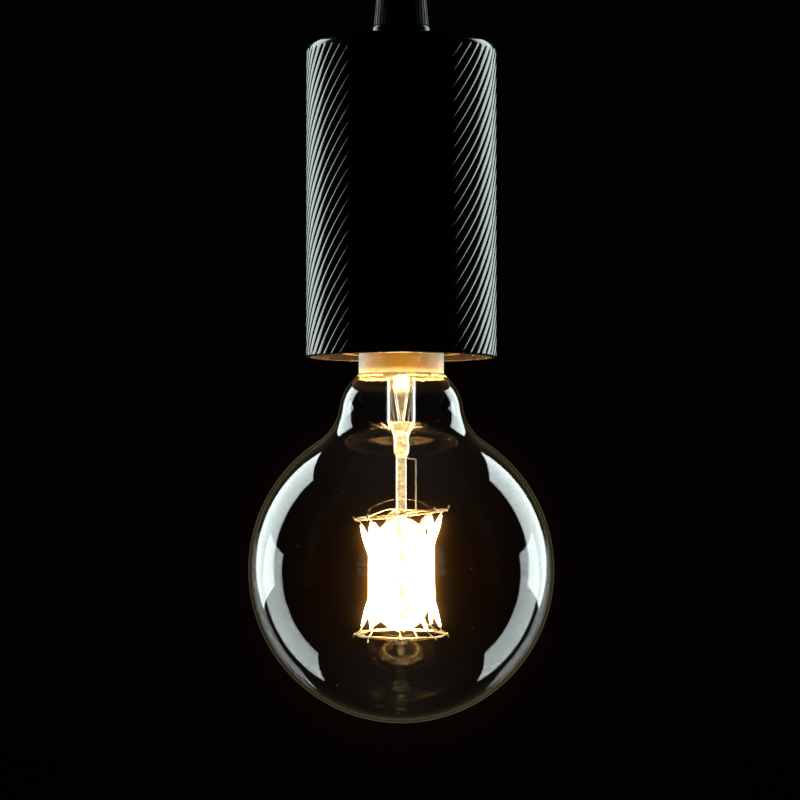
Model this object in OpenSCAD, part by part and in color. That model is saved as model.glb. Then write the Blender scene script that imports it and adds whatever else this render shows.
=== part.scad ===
// Pendant lampholder with a globe filament bulb screwed into it, millimetres.
// The origin is the centre of the cord inlet, on top of the cord grip, and everything hangs below it.

/* [Spiral shell] */
// Outer diameter of the shell, over the reeds
shell_d = 59.6; // [57:0.1:66]
// Height of the shell, from its open rim to its flat top
shell_h = 98.6; // [94:0.1:112]
// Wall of the shell, from the crown of a reed to the inside
shell_wall = 1.8; // [1.4:0.1:2.4]
// Thickness of the flat top
shell_top_t = 2; // [1.5:0.1:3]
// Radius of the smooth shoulder
shoulder_r = 3.1; // [2:0.1:4]
// Number of spiral reeds
reeds = 50; // [30:1:56]
// Depth of the valleys between the reeds
reed_depth = 0.6; // [0.3:0.05:0.8]
// Lean of the reeds from the vertical, in degrees
reed_lean = 38.3; // [20:0.1:45]

/* [Cord grip] */
// Height of the ribbed grip
grip_h = 22.4; // [21:0.1:30]
// Diameter of the grip at its mouth
grip_top_d = 13.4; // [12.6:0.1:15]
// Diameter of the grip at its foot
grip_foot_d = 17.3; // [16.6:0.1:18]
// Number of upright ribs
grip_ribs = 36; // [24:1:40]
// Depth of the grooves between the ribs
rib_depth = 0.45; // [0.2:0.05:0.6]
// Bore for a 7 mm cord
cord_bore_d = 7.2; // [6.4:0.1:8]
// Length of the cord bore
cord_bore_h = 9; // [7:0.1:10]
// Height of the rubber bush
bush_h = 5; // [3:0.1:6]
// Clearance of the bush's bore over the inlet's
bush_gap = 0.4; // [0.35:0.05:0.6]

/* [Grip base] */
// Diameter of the base ring
base_d = 18.3; // [18:0.1:22]
// Height of the base ring
base_h = 5; // [4:0.1:7]
// Diameter of the spigot inside the grip
spigot_d = 12.8; // [12.4:0.1:13.4]

/* [Threaded tube] */
// Diameter of the threaded tube
tube_d = 10; // [9:0.1:10.4]
// Bore of the threaded tube
tube_bore_d = 7.6; // [7.2:0.1:8]
// How far the tube enters the grip base
tube_grip = 7; // [5:0.1:9]
// How far the tube enters the socket dome
tube_dome = 9; // [6:0.1:12]
// Width across the flats of the nuts
nut_af = 14; // [13:0.1:17]
// Height of a nut
nut_h = 3; // [2.5:0.1:4]
// Diameter of the washer
washer_d = 20; // [17:0.1:24]
// Thickness of the washer
washer_t = 1; // [0.8:0.1:1.6]
// Thickness of the earth tag
tag_t = 0.6; // [0.5:0.1:1]

/* [Socket] */
// Outer diameter of the moulded skirt and dome
skirt_d = 38; // [37:0.1:41]
// Wall of the skirt and dome
skirt_wall = 2.4; // [2:0.1:3]
// Height of the skirt
skirt_h = 38.8; // [38.4:0.1:42]
// Height of the skirt's edge above the shell's rim
skirt_lift = 1.2; // [0.6:0.1:2]
// Height of the dome
dome_h = 20; // [18:0.1:24]
// Thickness of the dome's crown round the tube
crown_t = 5; // [4:0.1:7]
// Thickness of the terminal block
block_t = 8.6; // [8:0.1:9]
// Thickness of the threaded sleeve
sleeve_wall = 0.6; // [0.5:0.05:0.9]

/* [Screw thread] */
// Pitch of the round thread
thread_pitch = 3.629; // [3.6:0.001:3.66]
// Outer diameter of the cap's thread
cap_major_d = 26.2; // [26:0.05:26.4]
// Core diameter of the cap's thread
cap_minor_d = 24.1; // [23.9:0.05:24.3]
// Clearance between the two threads, on the radius
thread_gap = 0.28; // [0.22:0.01:0.35]
// Height of the cap's thread
cap_thread_h = 17.8; // [16:0.1:18.5]
// Wall of the cap, behind the core of its thread
cap_wall = 0.6; // [0.4:0.05:0.8]

/* [Cap] */
// Height of the plain band at the cap's open end
cap_band_h = 1.7; // [1.2:0.1:2.2]
// Height of the narrowing at the top of the cap
cap_taper_h = 1.9; // [1.5:0.1:2.4]
// Height of the black insulator above the cap
insulator_h = 4.1; // [3.5:0.1:4.6]
// Diameter of the tip contact
tip_d = 9.2; // [8.5:0.1:10]
// Height of the tip contact
tip_h = 1.4; // [1:0.1:1.8]
// Clearance between the tip and what it meets
tip_gap = 0.1; // [0.05:0.01:0.2]

/* [Collar] */
// Diameter of the ivory collar
collar_d = 26.5; // [26.2:0.1:27.5]
// Height of the ivory collar
collar_h = 8; // [7:0.1:9]
// How far the collar shows below the shell's rim
collar_drop = 5.3; // [4.8:0.1:6]
// Height of the cement bead below the collar
cement_h = 1.3; // [1:0.1:1.8]

/* [Glass] */
// Diameter of the globe
globe_d = 95; // [93:0.1:98]
// Depth of the globe's centre below the collar
globe_drop = 60.7; // [59:0.1:64]
// Wall of the glass
glass_wall = 0.8; // [0.6:0.05:1.2]
// Widest diameter of the neck
neck_d = 38.6; // [37:0.1:40]
// Depth of the neck's widest place below the collar
neck_drop = 12.3; // [11:0.1:13]
// Radius of the round neck
neck_arc_r = 15.4; // [14:0.1:17]
// Radius of the hollow between neck and globe
hollow_r = 15; // [12:0.1:18]
// Diameter of the straight throat inside the collar
throat_d = 22.4; // [21.6:0.1:22.6]
// Height of the throat above the collar's foot
throat_h = 13; // [11:0.1:14]

/* [Stem] */
// Diameter of the stem tube
stem_d = 9.5; // [9:0.1:10.5]
// Wall of the stem tube
stem_wall = 0.9; // [0.8:0.05:1.2]
// Depth of the press below the collar
press_drop = 15.2; // [14:0.1:17]
// Height of the press, down to the rod
press_h = 10.6; // [9:0.1:12]
// Width of the press where it leaves the tube
press_w = 8.4; // [7.6:0.1:8.9]
// Thickness of the press
press_t = 5; // [4.5:0.1:6]
// Diameter of the exhaust tube
exhaust_d = 5; // [4.4:0.1:5.4]
// Diameter of the glass rod
rod_d = 3.3; // [3:0.1:4]
// Diameter of the bead at the rod's end
bead_d = 5; // [4.6:0.1:6]
// Diameter of the lead wires
wire_d = 0.6; // [0.5:0.05:0.8]

/* [Filament cage] */
// Number of filaments, which is the number of corners of the rings too
filaments = 8; // [8:1:8]
// Depth of the upper ring below the collar
cage_drop = 43.7; // [42:0.1:46]
// Height of the cage, from ring to ring
cage_h = 37; // [34:0.1:39]
// Diameter of the rings, across the corners
ring_d = 28.4; // [26:0.1:30]
// Turn of the cage from the upper to the lower ring, in degrees
cage_twist = 90; // [80:1:94]
// Diameter of a filament
filament_d = 2.2; // [1.8:0.1:2.4]
// Length of the bare metal at each end of a filament
filament_tab = 2.6; // [2:0.1:3.5]
// How far the filaments stand inside the corners of the rings
filament_inset = 1.2; // [0.8:0.1:1.5]

/* [Driver] */
// Width of the driver board
board_w = 15; // [13:0.1:16]
// Height of the driver board
board_h = 14; // [12:0.1:14.5]
// Thickness of the driver board
board_t = 1; // [0.8:0.1:1.6]
// Diameter of the capacitor
capacitor_d = 6.3; // [5:0.1:6.5]
// Height of the capacitor
capacitor_h = 9; // [7:0.1:10]

/* [Hidden] */
round_fn = 96;
small_fn = 32;

// Heights that the pieces share
shell_top_z = -(grip_h + base_h);
rim_z = shell_top_z - shell_h;
bush_top_z = -cord_bore_h;
spigot_top_z = bush_top_z - bush_h;
tube_top_z = -grip_h + tube_grip - base_h;
washer_top_z = shell_top_z - shell_top_t;
tag_top_z = washer_top_z - washer_t;
nut_top_z = tag_top_z - tag_t;
skirt_z = rim_z + skirt_lift;
skirt_top_z = skirt_z + skirt_h;
dome_top_z = skirt_top_z + dome_h;
tube_foot_z = dome_top_z - tube_dome;
block_z = skirt_top_z - block_t;

// Places inside the socket
lip_h = 2.6;
flange_t = 0.8;
flange_z = skirt_z + lip_h;
sleeve_minor_r = cap_minor_d / 2 + thread_gap;
sleeve_major_r = cap_major_d / 2 + thread_gap;
sleeve_r = sleeve_major_r + sleeve_wall;
sleeve_seat_r = skirt_d / 2 - skirt_wall;

// Heights of the bulb, measured from the foot of its collar
foot_z = rim_z - collar_drop;
collar_top_z = foot_z + collar_h;
thread_z = collar_top_z + cap_band_h;
thread_top_z = thread_z + cap_thread_h;
cap_top_z = thread_top_z + cap_taper_h;
tip_z = cap_top_z + insulator_h + tip_gap;
cap_bore_r = cap_minor_d / 2 - cap_wall;
cap_mouth_r = 10.6;
globe_r = globe_d / 2;
globe_z = foot_z - globe_drop;
press_z = foot_z - press_drop;
rod_z = press_z - press_h;
upper_ring_z = foot_z - cage_drop;
lower_ring_z = upper_ring_z - cage_h;
ring_r = ring_d / 2;
rod_foot_z = lower_ring_z + 6.6;
throat_top_z = foot_z + throat_h;

// Points along an arc of radius r round c, from angle a to angle b
function arc(c, r, a, b, n) = [for (i = [0:n]) let (t = a + (b - a) * i / n) c + r * [cos(t), sin(t)]];

// The point at distance ra from a and rb from b, on the right of the way from a to b turned left
function meet(a, ra, b, rb) =
    let (d = norm(b - a), u = (b - a) / d, s = (ra * ra - rb * rb + d * d) / (2 * d))
    a + s * u + sqrt(ra * ra - s * s) * [-u.y, u.x];
function angle_of(v) = atan2(v.y, v.x);

// A ring whose section is a closed row of stations, each a row of points round the axis
module ring_solid(stations, shift = 0) {
    rows = len(stations);
    count = len(stations[0]);
    points = [for (s = stations) each s];
    function at(row, col) = (row % rows) * count + (col + (row >= rows ? shift : 0)) % count;
    faces = [for (row = [0:rows - 1], col = [0:count - 1]) each [
        [at(row, col), at(row + 1, col), at(row + 1, col + 1)],
        [at(row, col), at(row + 1, col + 1), at(row, col + 1)]]];
    polyhedron(points, faces, convexity = 6);
}

// A round row of points at radius r and height z, turned by an angle
function circle_row(r, z, count, turn = 0) =
    [for (i = [0:count - 1]) let (t = 360 * i / count + turn) [r * cos(t), r * sin(t), z]];

// A ring with an outline made of [radius, height] points, from true round faces
module turned(outline) {
    rotate_extrude($fn = round_fn) polygon(outline);
}

// A tube or disc with a round hole, standing on z
module tube(d, bore, z, h) {
    translate([0, 0, z]) difference() {
        cylinder(d = d, h = h, $fn = round_fn);
        translate([0, 0, -1]) cylinder(d = bore, h = h + 2, $fn = round_fn);
    }
}

// A round bar between two points
module bar(a, b, d, sides = small_fn) {
    v = b - a;
    translate(a) rotate([0, acos(v.z / norm(v)), atan2(v.y, v.x)])
        cylinder(d = d, h = norm(v), $fn = sides);
}

// A thin wire along a row of points, mitred at its bends; flat is square to the wire's plane
wire_sides = 8;
function unit(v) = v / norm(v);
module wire(route, d, flat, closed = false) {
    count = len(route);
    last = count - 1;
    function way(i) = unit(route[(i + 1) % count] - route[i]);
    stations = [for (i = [0:last])
        let (out = i < last || closed ? way(i) : way(i - 1),
             into = i > 0 ? way(i - 1) : closed ? way(last) : out,
             mitre = unit(into + out),
             side = unit(cross(out, flat)),
             up = cross(side, out))
        [for (k = [0:wire_sides - 1])
            let (t = 360 * (k + 0.5) / wire_sides, p = d / 2 * (cos(t) * side + sin(t) * up))
            route[i] + p - out * (p * mitre) / (out * mitre)]];
    points = [for (s = stations) each s];
    function at(i, k) = (i % count) * wire_sides + k % wire_sides;
    faces = [for (i = [0:closed ? last : last - 1], k = [0:wire_sides - 1])
        [at(i, k), at(i, k + 1), at(i + 1, k + 1), at(i + 1, k)]];
    ends = closed ? [] : [[for (k = [wire_sides - 1:-1:0]) at(0, k)], [for (k = [0:wire_sides - 1]) at(last, k)]];
    polyhedron(points, concat(faces, ends), convexity = 4);
}

// Spiral shell
points_per_reed = 3;
shell_count = reeds * points_per_reed;
shell_r = shell_d / 2;
shell_bore_r = shell_r - shell_wall;
tube_hole_d = tube_d + 0.1;
reeded_h = shell_h - shoulder_r;
reed_turn = tan(reed_lean) * reeded_h / shell_r * 180 / PI;
shell_step = 360 / shell_count;
whole_steps = round(reed_turn / shell_step);
whole_turn = whole_steps * shell_step;
reeded_rows = ceil(reed_turn / 8);

function reed_row(z, turn) =
    [for (i = [0:shell_count - 1])
        let (t = i * shell_step + turn, r = shell_r - (i % points_per_reed == 0 ? reed_depth : 0))
        [r * cos(t), r * sin(t), z]];

module spiral_shell() {
    shoulder = arc([shell_r - shoulder_r, shell_top_z - shoulder_r], shoulder_r, 30, 90, 2);
    color("#1b1f20") ring_solid(concat(
        [for (k = [0:reeded_rows]) let (f = k / reeded_rows) reed_row(rim_z + f * reeded_h, f * reed_turn)],
        [for (p = shoulder) circle_row(p.x, p.y, shell_count, whole_turn)],
        [circle_row(tube_hole_d / 2, shell_top_z, shell_count, whole_turn),
         circle_row(tube_hole_d / 2, washer_top_z, shell_count, whole_turn),
         circle_row(shell_bore_r, washer_top_z, shell_count, whole_turn),
         circle_row(shell_bore_r, rim_z, shell_count, whole_turn)]),
        shift = whole_steps);
}

// Cord grip
module cord_grip() {
    foot_r = grip_foot_d / 2;
    step = 360 / grip_ribs;
    color("#202122") difference() {
        translate([0, 0, -grip_h]) linear_extrude(height = grip_h, scale = grip_top_d / grip_foot_d)
            polygon([for (i = [0:grip_ribs - 1], p = [[-0.42, 1], [-0.2, 0], [0.2, 0], [0.42, 1]])
                (foot_r - p.y * rib_depth) * [cos((i + p.x) * step), sin((i + p.x) * step)]]);
        translate([0, 0, -grip_h - 1]) cylinder(d = cord_bore_d, h = grip_h + 2, $fn = round_fn);
        translate([0, 0, spigot_top_z]) cylinder(d = bush_d, h = bush_h, $fn = round_fn);
        translate([0, 0, -grip_h - 1])
            cylinder(d = spigot_d, h = spigot_top_z + grip_h + 1, $fn = round_fn);
    }
}

// Rubber bush that closes on the cord
bush_d = 10.4;
bush_bore_d = cord_bore_d + bush_gap;
module grip_bush() {
    color("#2c2a28") tube(bush_d, bush_bore_d, spigot_top_z, bush_h);
}

// Grip base, a ring with a spigot above and a threaded socket below
module grip_base() {
    foot = -grip_h - base_h;
    edge = 0.5;
    color("#232627") difference() {
        turned([[0, foot], [base_d / 2 - edge, foot], [base_d / 2, foot + edge],
                [base_d / 2, -grip_h - edge], [base_d / 2 - edge, -grip_h],
                [spigot_d / 2, -grip_h], [spigot_d / 2, spigot_top_z], [0, spigot_top_z]]);
        translate([0, 0, foot - 1]) cylinder(d = tube_bore_d, h = 2 + spigot_top_z - foot, $fn = round_fn);
        translate([0, 0, foot - 1]) cylinder(d = tube_d, h = 1 + tube_top_z - foot, $fn = round_fn);
    }
}

// Threaded tube that carries the socket
module threaded_tube() {
    color("#c9a44c") tube(tube_d, tube_bore_d, tube_foot_z, tube_top_z - tube_foot_z);
}

module fixing_washer() {
    color("#b9bcbd") tube(washer_d, tube_hole_d, tag_top_z, washer_t);
}

// Earth tag, a ring with an arm that is bent down
tag_d = 15;
tag_arm_w = 6;
tag_arm_x = 13.5;
tag_arm_h = 9;
module earth_tag() {
    color("#b9bcbd") difference() {
        union() {
            translate([0, 0, nut_top_z]) cylinder(d = tag_d, h = tag_t, $fn = round_fn);
            translate([0, -tag_arm_w / 2, nut_top_z]) cube([tag_arm_x, tag_arm_w, tag_t]);
            translate([tag_arm_x - tag_t, -tag_arm_w / 2, nut_top_z - tag_arm_h])
                cube([tag_t, tag_arm_w, tag_arm_h + tag_t]);
        }
        translate([0, 0, nut_top_z - 1]) cylinder(d = tube_hole_d, h = tag_t + 2, $fn = round_fn);
        translate([tag_arm_x - tag_t - 1, 0, nut_top_z - tag_arm_h + tag_arm_w / 2]) rotate([0, 90, 0])
            cylinder(d = earth_screw_d, h = tag_t + 2, $fn = small_fn);
    }
}

// Earth screw through the arm of the tag
earth_screw_d = 3;
module earth_screw() {
    head_d = 5.4;
    head_t = 1.8;
    slot_w = 0.7;
    color("#d0b060") translate([tag_arm_x, 0, nut_top_z - tag_arm_h + tag_arm_w / 2])
        rotate([0, 90, 0]) difference() {
            union() {
                cylinder(d = head_d, h = head_t, $fn = small_fn);
                translate([0, 0, -tag_t - 2]) cylinder(d = earth_screw_d, h = tag_t + 2, $fn = small_fn);
            }
            translate([-head_d, -slot_w / 2, head_t / 2]) cube([2 * head_d, slot_w, head_t]);
        }
}

// Hexagon nut with a round hole
module hex_nut(z) {
    translate([0, 0, z]) difference() {
        cylinder(d = nut_af / cos(30), h = nut_h, $fn = 6);
        translate([0, 0, -1]) cylinder(d = tube_d, h = nut_h + 2, $fn = round_fn);
    }
}
module fixing_nut() {
    color("#c2a353") hex_nut(nut_top_z - nut_h);
}
module dome_locknut() {
    color("#c2a353") hex_nut(dome_top_z);
}

// Socket dome, which closes the socket above and is threaded on the tube
module socket_dome() {
    r = skirt_d / 2;
    top_r = 9;
    rise = 3;
    outer = arc([top_r, skirt_top_z + rise], 1, 0, 90, 8);
    round_h = dome_h - rise;
    span = r - top_r;
    color("#141414") difference() {
        turned(concat([[0, skirt_top_z], [r, skirt_top_z]],
            [for (p = outer) [top_r + (p.x - top_r) * span,
                skirt_top_z + rise + (p.y - skirt_top_z - rise) * round_h]],
            [[0, dome_top_z]]));
        turned(concat([[0, skirt_top_z - 1], [r - skirt_wall, skirt_top_z - 1]],
            [for (p = outer) [top_r + (p.x - top_r) * (span - skirt_wall),
                skirt_top_z + rise + (p.y - skirt_top_z - rise) * (round_h - crown_t)]],
            [[0, dome_top_z - crown_t]]));
        translate([0, 0, skirt_top_z]) cylinder(d = tube_d, h = dome_h + 1, $fn = round_fn);
    }
}

// Socket skirt, with the lip that carries the threaded sleeve
module socket_skirt() {
    r = skirt_d / 2;
    lip_r = sleeve_r + 0.2;
    color("#141414") turned([[lip_r, skirt_z], [r - 0.6, skirt_z], [r, skirt_z + 0.6], [r, skirt_top_z],
        [sleeve_seat_r, skirt_top_z], [sleeve_seat_r, flange_z], [lip_r, flange_z]]);
}

// Round thread: 0 in the valley and 1 on the crest, right-handed
function thread_wave(t, z) = (1 + cos(360 * (z - thread_z) / thread_pitch - t)) / 2;
thread_count = 36;
rows_per_pitch = 6;
row_h = thread_pitch / rows_per_pitch;
function fade(z, low, high) = max(0, min(1, (z - low) / row_h, (high - z) / row_h));
function thread_row(z, valley_r, crest_r, low, high) =
    [for (i = [0:thread_count - 1])
        let (t = 360 * i / thread_count,
             r = valley_r + (crest_r - valley_r) * fade(z, low, high) * thread_wave(t, z))
        [r * cos(t), r * sin(t), z]];

// Threaded sleeve of the socket, with its foot flange
sleeve_thread_z = thread_z + 0.6;
sleeve_rows = floor((block_z - sleeve_thread_z) / row_h);
function sleeve_inner_row(z) =
    [for (i = [0:thread_count - 1])
        let (t = 360 * i / thread_count,
             f = fade(z, sleeve_thread_z, thread_top_z + 2 * row_h),
             r = sleeve_major_r - (sleeve_major_r - sleeve_minor_r) * f * (1 - thread_wave(t, z)))
        [r * cos(t), r * sin(t), z]];
module thread_sleeve() {
    flange_r = sleeve_seat_r - 0.05;
    color("#c89d3c") ring_solid(concat(
        [circle_row(flange_r, flange_z, thread_count),
         circle_row(flange_r, flange_z + flange_t, thread_count),
         circle_row(sleeve_r, flange_z + flange_t, thread_count),
         circle_row(sleeve_r, block_z, thread_count)],
        [for (k = [sleeve_rows:-1:0]) sleeve_inner_row(sleeve_thread_z + k * row_h)],
        [circle_row(sleeve_major_r, flange_z, thread_count)]));
}

// Terminal block, with two pockets for the clamps and slots for the contacts
pocket = [8.4, 9.4, 6];
clamp_x = 9;
contact_w = 6;
contact_t = 0.5;
contact_slot = 0.3;
sleeve_contact_y = sleeve_r;
module terminal_block() {
    color("#e9e4d6") difference() {
        translate([0, 0, block_z]) cylinder(r = sleeve_seat_r, h = block_t, $fn = round_fn);
        for (x = [-clamp_x, clamp_x]) translate([x - pocket.x / 2, -pocket.y / 2, block_z + block_t - pocket.z])
            cube([pocket.x, pocket.y, pocket.z + 1]);
        translate([-contact_w / 2 - contact_slot, sleeve_contact_y - contact_slot, block_z - 1])
            cube([contact_w + 2 * contact_slot, contact_t + 2 * contact_slot, block_t + 2]);
        translate([clamp_x - contact_t - contact_slot, -contact_w / 2 - contact_slot, block_z - 1])
            cube([contact_t + 2 * contact_slot, contact_w + 2 * contact_slot, block_t + 2]);
    }
}

// Centre contact, a sprung brass strip pressed flat by the bulb's tip
module centre_contact() {
    low = tip_z + tip_h + tip_gap;
    high = block_z;
    start = -4;
    bend = 3;
    lean = 4;
    color("#d4ab4f") union() {
        translate([0, contact_w / 2, 0]) rotate([90, 0, 0]) linear_extrude(height = contact_w) polygon([
            [start, low], [bend, low], [bend + lean, high - contact_t], [clamp_x, high - contact_t],
            [clamp_x, high], [bend + lean - contact_t, high], [bend - contact_t, low + contact_t],
            [start, low + contact_t]]);
        translate([clamp_x - contact_t, -contact_w / 2, high - contact_t])
            cube([contact_t, contact_w, contact_t + block_t - pocket.z]);
    }
}

// Strip that joins the threaded sleeve to its terminal
module sleeve_contact() {
    strip_foot = block_z - 4;
    arm_w = 4;
    color("#d4ab4f") union() {
        translate([-contact_w / 2, sleeve_contact_y, strip_foot])
            cube([contact_w, contact_t, skirt_top_z + contact_t - strip_foot]);
        translate([-contact_w / 2, clamp.y / 2, skirt_top_z])
            cube([contact_w, sleeve_contact_y + contact_t - clamp.y / 2, contact_t]);
        translate([-clamp_x, clamp.y / 2, skirt_top_z]) cube([clamp_x, arm_w, contact_t]);
    }
}

// Brass wire clamps in the pockets of the block
clamp = [6.4, 7.6, 9];
module wire_clamps() {
    foot = block_z + block_t - pocket.z;
    color("#caa24a") for (x = [-clamp_x, clamp_x]) translate([x, 0, foot]) difference() {
        translate([-clamp.x / 2, -clamp.y / 2, 0]) cube(clamp);
        translate([0, -clamp.y, clamp.z - 2.4]) rotate([-90, 0, 0])
            cylinder(d = 2.4, h = 2 * clamp.y, $fn = small_fn);
        translate([0, 0, clamp.z - 2.4]) rotate([0, sign(x) * -90, 0])
            cylinder(d = 2.5, h = clamp.x, $fn = small_fn);
    }
}

// Slotted screws that close the clamps
module terminal_screws() {
    foot = block_z + block_t - pocket.z;
    color("#bfc2c4") for (x = [-clamp_x, clamp_x]) translate([x, 0, foot + clamp.z - 2.4])
        rotate([0, sign(x) * -90, 0]) difference() {
            union() {
                translate([0, 0, 1.2]) cylinder(d = 2.5, h = clamp.x / 2 - 1.2, $fn = small_fn);
                translate([0, 0, clamp.x / 2]) cylinder(d = 3.6, h = 0.9, $fn = small_fn);
            }
            translate([-3, -0.35, clamp.x / 2 + 0.5]) cube([6, 0.7, 2]);
        }
}

// Tip contact of the bulb
module tip_contact() {
    color("#cfcac0") turned([[0, tip_z], [tip_d / 2, tip_z], [tip_d / 2, tip_z + tip_h / 2],
        [tip_d / 2 - 1.4, tip_z + tip_h], [0, tip_z + tip_h]]);
}

// Threaded cap of the bulb
module cap_shell() {
    band_r = cap_major_d / 2;
    rows = round(cap_thread_h / row_h);
    top_r = cap_bore_r - 0.2;
    color("#c9cbd0") ring_solid(concat(
        [circle_row(band_r, collar_top_z, thread_count)],
        [for (k = [0:rows]) thread_row(thread_z + k * cap_thread_h / rows, cap_minor_d / 2, cap_major_d / 2,
            thread_z - row_h, thread_top_z)],
        [circle_row(top_r, cap_top_z, thread_count),
         circle_row(cap_mouth_r, cap_top_z, thread_count),
         circle_row(cap_mouth_r, cap_top_z - cap_wall, thread_count),
         circle_row(cap_bore_r, thread_top_z - cap_wall, thread_count),
         circle_row(cap_bore_r, collar_top_z, thread_count)]));
}

// Black insulator between the cap and the tip
module cap_insulator() {
    top = tip_z - tip_gap;
    rim_r = cap_mouth_r - 0.1;
    color("#15130f") turned([[0.8, cap_top_z - 1.2], [rim_r - 1.2, cap_top_z - 1.2], [rim_r, cap_top_z - 0.6],
        [rim_r, cap_top_z + 0.5], [tip_d / 2 + 0.6, top - 0.4], [tip_d / 2, top], [0.8, top]]);
}

// Ivory collar between cap and glass
module cap_collar() {
    edge = 0.5;
    r = collar_d / 2;
    color("#efe6d2") turned([[throat_d / 2, foot_z], [r - edge, foot_z], [r, foot_z + edge],
        [r, collar_top_z - edge], [r - edge, collar_top_z], [throat_d / 2, collar_top_z]]);
}

// Outline of the glass, grown by s: neck, hollow and globe are arcs that touch
neck_c = [neck_d / 2 - neck_arc_r, foot_z - neck_drop];
globe_c = [0, globe_z];
hollow_c = meet(neck_c, neck_arc_r + hollow_r, globe_c, globe_r + hollow_r);
neck_a = angle_of(hollow_c - neck_c);
globe_a = angle_of(hollow_c - globe_c);
neck_start_a = asin((neck_drop - 0.3) / neck_arc_r);
function glass_outline(s) = concat(
    arc(neck_c, neck_arc_r + s, neck_start_a, neck_a, 8),
    arc(hollow_c, hollow_r - s, neck_a + 180, globe_a + 180, 9),
    arc(globe_c, globe_r + s, globe_a, -90, 40));

module glass_globe() {
    throat_r = throat_d / 2;
    inner = glass_outline(-glass_wall);
    color([0.85, 0.9, 0.92, 0.3]) turned(concat(
        [[throat_r - glass_wall, throat_top_z], [throat_r, throat_top_z], [throat_r, foot_z]],
        glass_outline(0),
        [for (i = [len(inner) - 1:-1:0]) inner[i]],
        [[throat_r - glass_wall, foot_z - 0.6]]));
}

// Bead of cement under the collar, lying on the glass
module cement_bead() {
    end_a = asin((neck_drop - cement_h) / neck_arc_r);
    skin = 0.02;
    color("#d9b45a") turned(concat(
        arc(neck_c, neck_arc_r + skin, neck_start_a, end_a, 4),
        arc(neck_c, neck_arc_r + 0.45, end_a, neck_start_a, 4)));
}

// Flare tube of the stem, sealed to the throat of the glass
module flare_tube() {
    rim_r = throat_d / 2 - glass_wall;
    tube_r = stem_d / 2;
    flare_h = 8;
    outer = [for (a = [0:15:90]) [rim_r - (rim_r - tube_r) * sin(a), throat_top_z - flare_h * (1 - cos(a))]];
    inner = [for (a = [90:-15:15]) [rim_r - (rim_r - tube_r) * sin(a) - stem_wall * sin(a),
        throat_top_z - (flare_h - stem_wall) * (1 - cos(a))]];
    color([0.9, 0.92, 0.9, 0.4]) turned(concat(outer,
        [[tube_r, press_z], [tube_r - stem_wall, press_z]], inner));
}

// Exhaust tube inside the flare, drawn to a funnel above the press
exhaust_foot = 10.2;
module exhaust_tube() {
    r = exhaust_d / 2;
    wall = 0.8;
    top = throat_top_z + 1.4;
    neck = press_z + exhaust_foot;
    tail_r = 1;
    color([0.95, 0.93, 0.85, 0.5]) turned([[0, top], [r * 0.6, top - 0.4], [r, top - 1.6], [r, neck],
        [tail_r, press_z + 0.6], [tail_r, press_z], [0.3, press_z], [0.3, press_z + 0.8],
        [r - wall, neck + 0.4], [r - wall, top - 1.8], [0, top - 1]]);
}

// Press where the tube is pinched on the wires, and its shoulder down to the rod
module stem_press() {
    waist_w = 4.8;
    waist_z = press_z - press_h * 0.5;
    step_z = press_z - press_h * 0.84;
    color([0.95, 0.9, 0.75, 0.6]) union() {
        hull() {
            translate([0, 0, press_z - 0.8]) scale([press_w, press_t, 1]) cylinder(d = 1, h = 0.8, $fn = small_fn);
            translate([0, 0, waist_z]) scale([waist_w, press_t * 0.8, 1]) cylinder(d = 1, h = 0.1, $fn = small_fn);
        }
        hull() {
            translate([0, 0, step_z]) scale([waist_w, press_t * 0.8, 1])
                cylinder(d = 1, h = waist_z - step_z, $fn = small_fn);
            translate([0, 0, rod_z]) cylinder(d = rod_d, h = 0.1, $fn = small_fn);
        }
    }
}

// Glass rod that carries the cage, with a bead at its end
module glass_rod() {
    color([0.95, 0.92, 0.85, 0.6]) union() {
        translate([0, 0, rod_foot_z]) cylinder(d = rod_d, h = rod_z - rod_foot_z, $fn = small_fn);
        translate([0, 0, rod_foot_z]) sphere(d = bead_d, $fn = small_fn);
    }
}

// Two lead wires from the driver, down beside the exhaust tube into the press
lead_x = exhaust_d / 2 + wire_d / 2 + 0.15;
lead_depth = 2;
module lead_wires() {
    color("#b9a16a") for (s = [-1, 1])
        bar([s * lead_x, 0, throat_top_z + 2], [s * lead_x, 0, press_z - lead_depth], wire_d);
}

// A corner of a ring, counted from 0, and a point on the edge after it
function corner(r, z, turn, i) = [r * cos(turn + 360 * i / filaments), r * sin(turn + 360 * i / filaments), z];

// Wire from the press to the upper ring
module upper_lead() {
    side_x = 4.6;
    top = rod_z - 0.3;
    a = corner(ring_r, upper_ring_z, 0, 1);
    b = corner(ring_r, upper_ring_z, 0, 2);
    meet_p = a + (b - a) * (a.x - side_x) / (a.x - b.x);
    color("#b0a080") wire([[rod_d / 2, 0, top], [side_x, meet_p.y, top], meet_p], wire_d,
        [meet_p.y, rod_d / 2 - side_x, 0]);
}

// Wire down the back of the rod to the lower ring
module lower_lead() {
    back = rod_d / 2 + wire_d / 2 + 0.1;
    color("#b0a080") wire([[-0.6, 1, rod_z + 3], [-0.6, back, rod_z + 0.6], [-0.6, back, rod_foot_z - 2.4],
        corner(ring_r, lower_ring_z, 0, 2)], wire_d, [1, 0, 0]);
}

// Ring of straight wires, from corner to corner
ring_wire_d = 0.8;
module cage_ring(z) {
    wire([for (i = [0:filaments - 1]) corner(ring_r, z, 0, i)], ring_wire_d, [0, 0, 1], closed = true);
}
module upper_ring() {
    color("#a58f5a") cage_ring(upper_ring_z);
}
module lower_ring() {
    color("#a58f5a") cage_ring(lower_ring_z);
}

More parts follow.
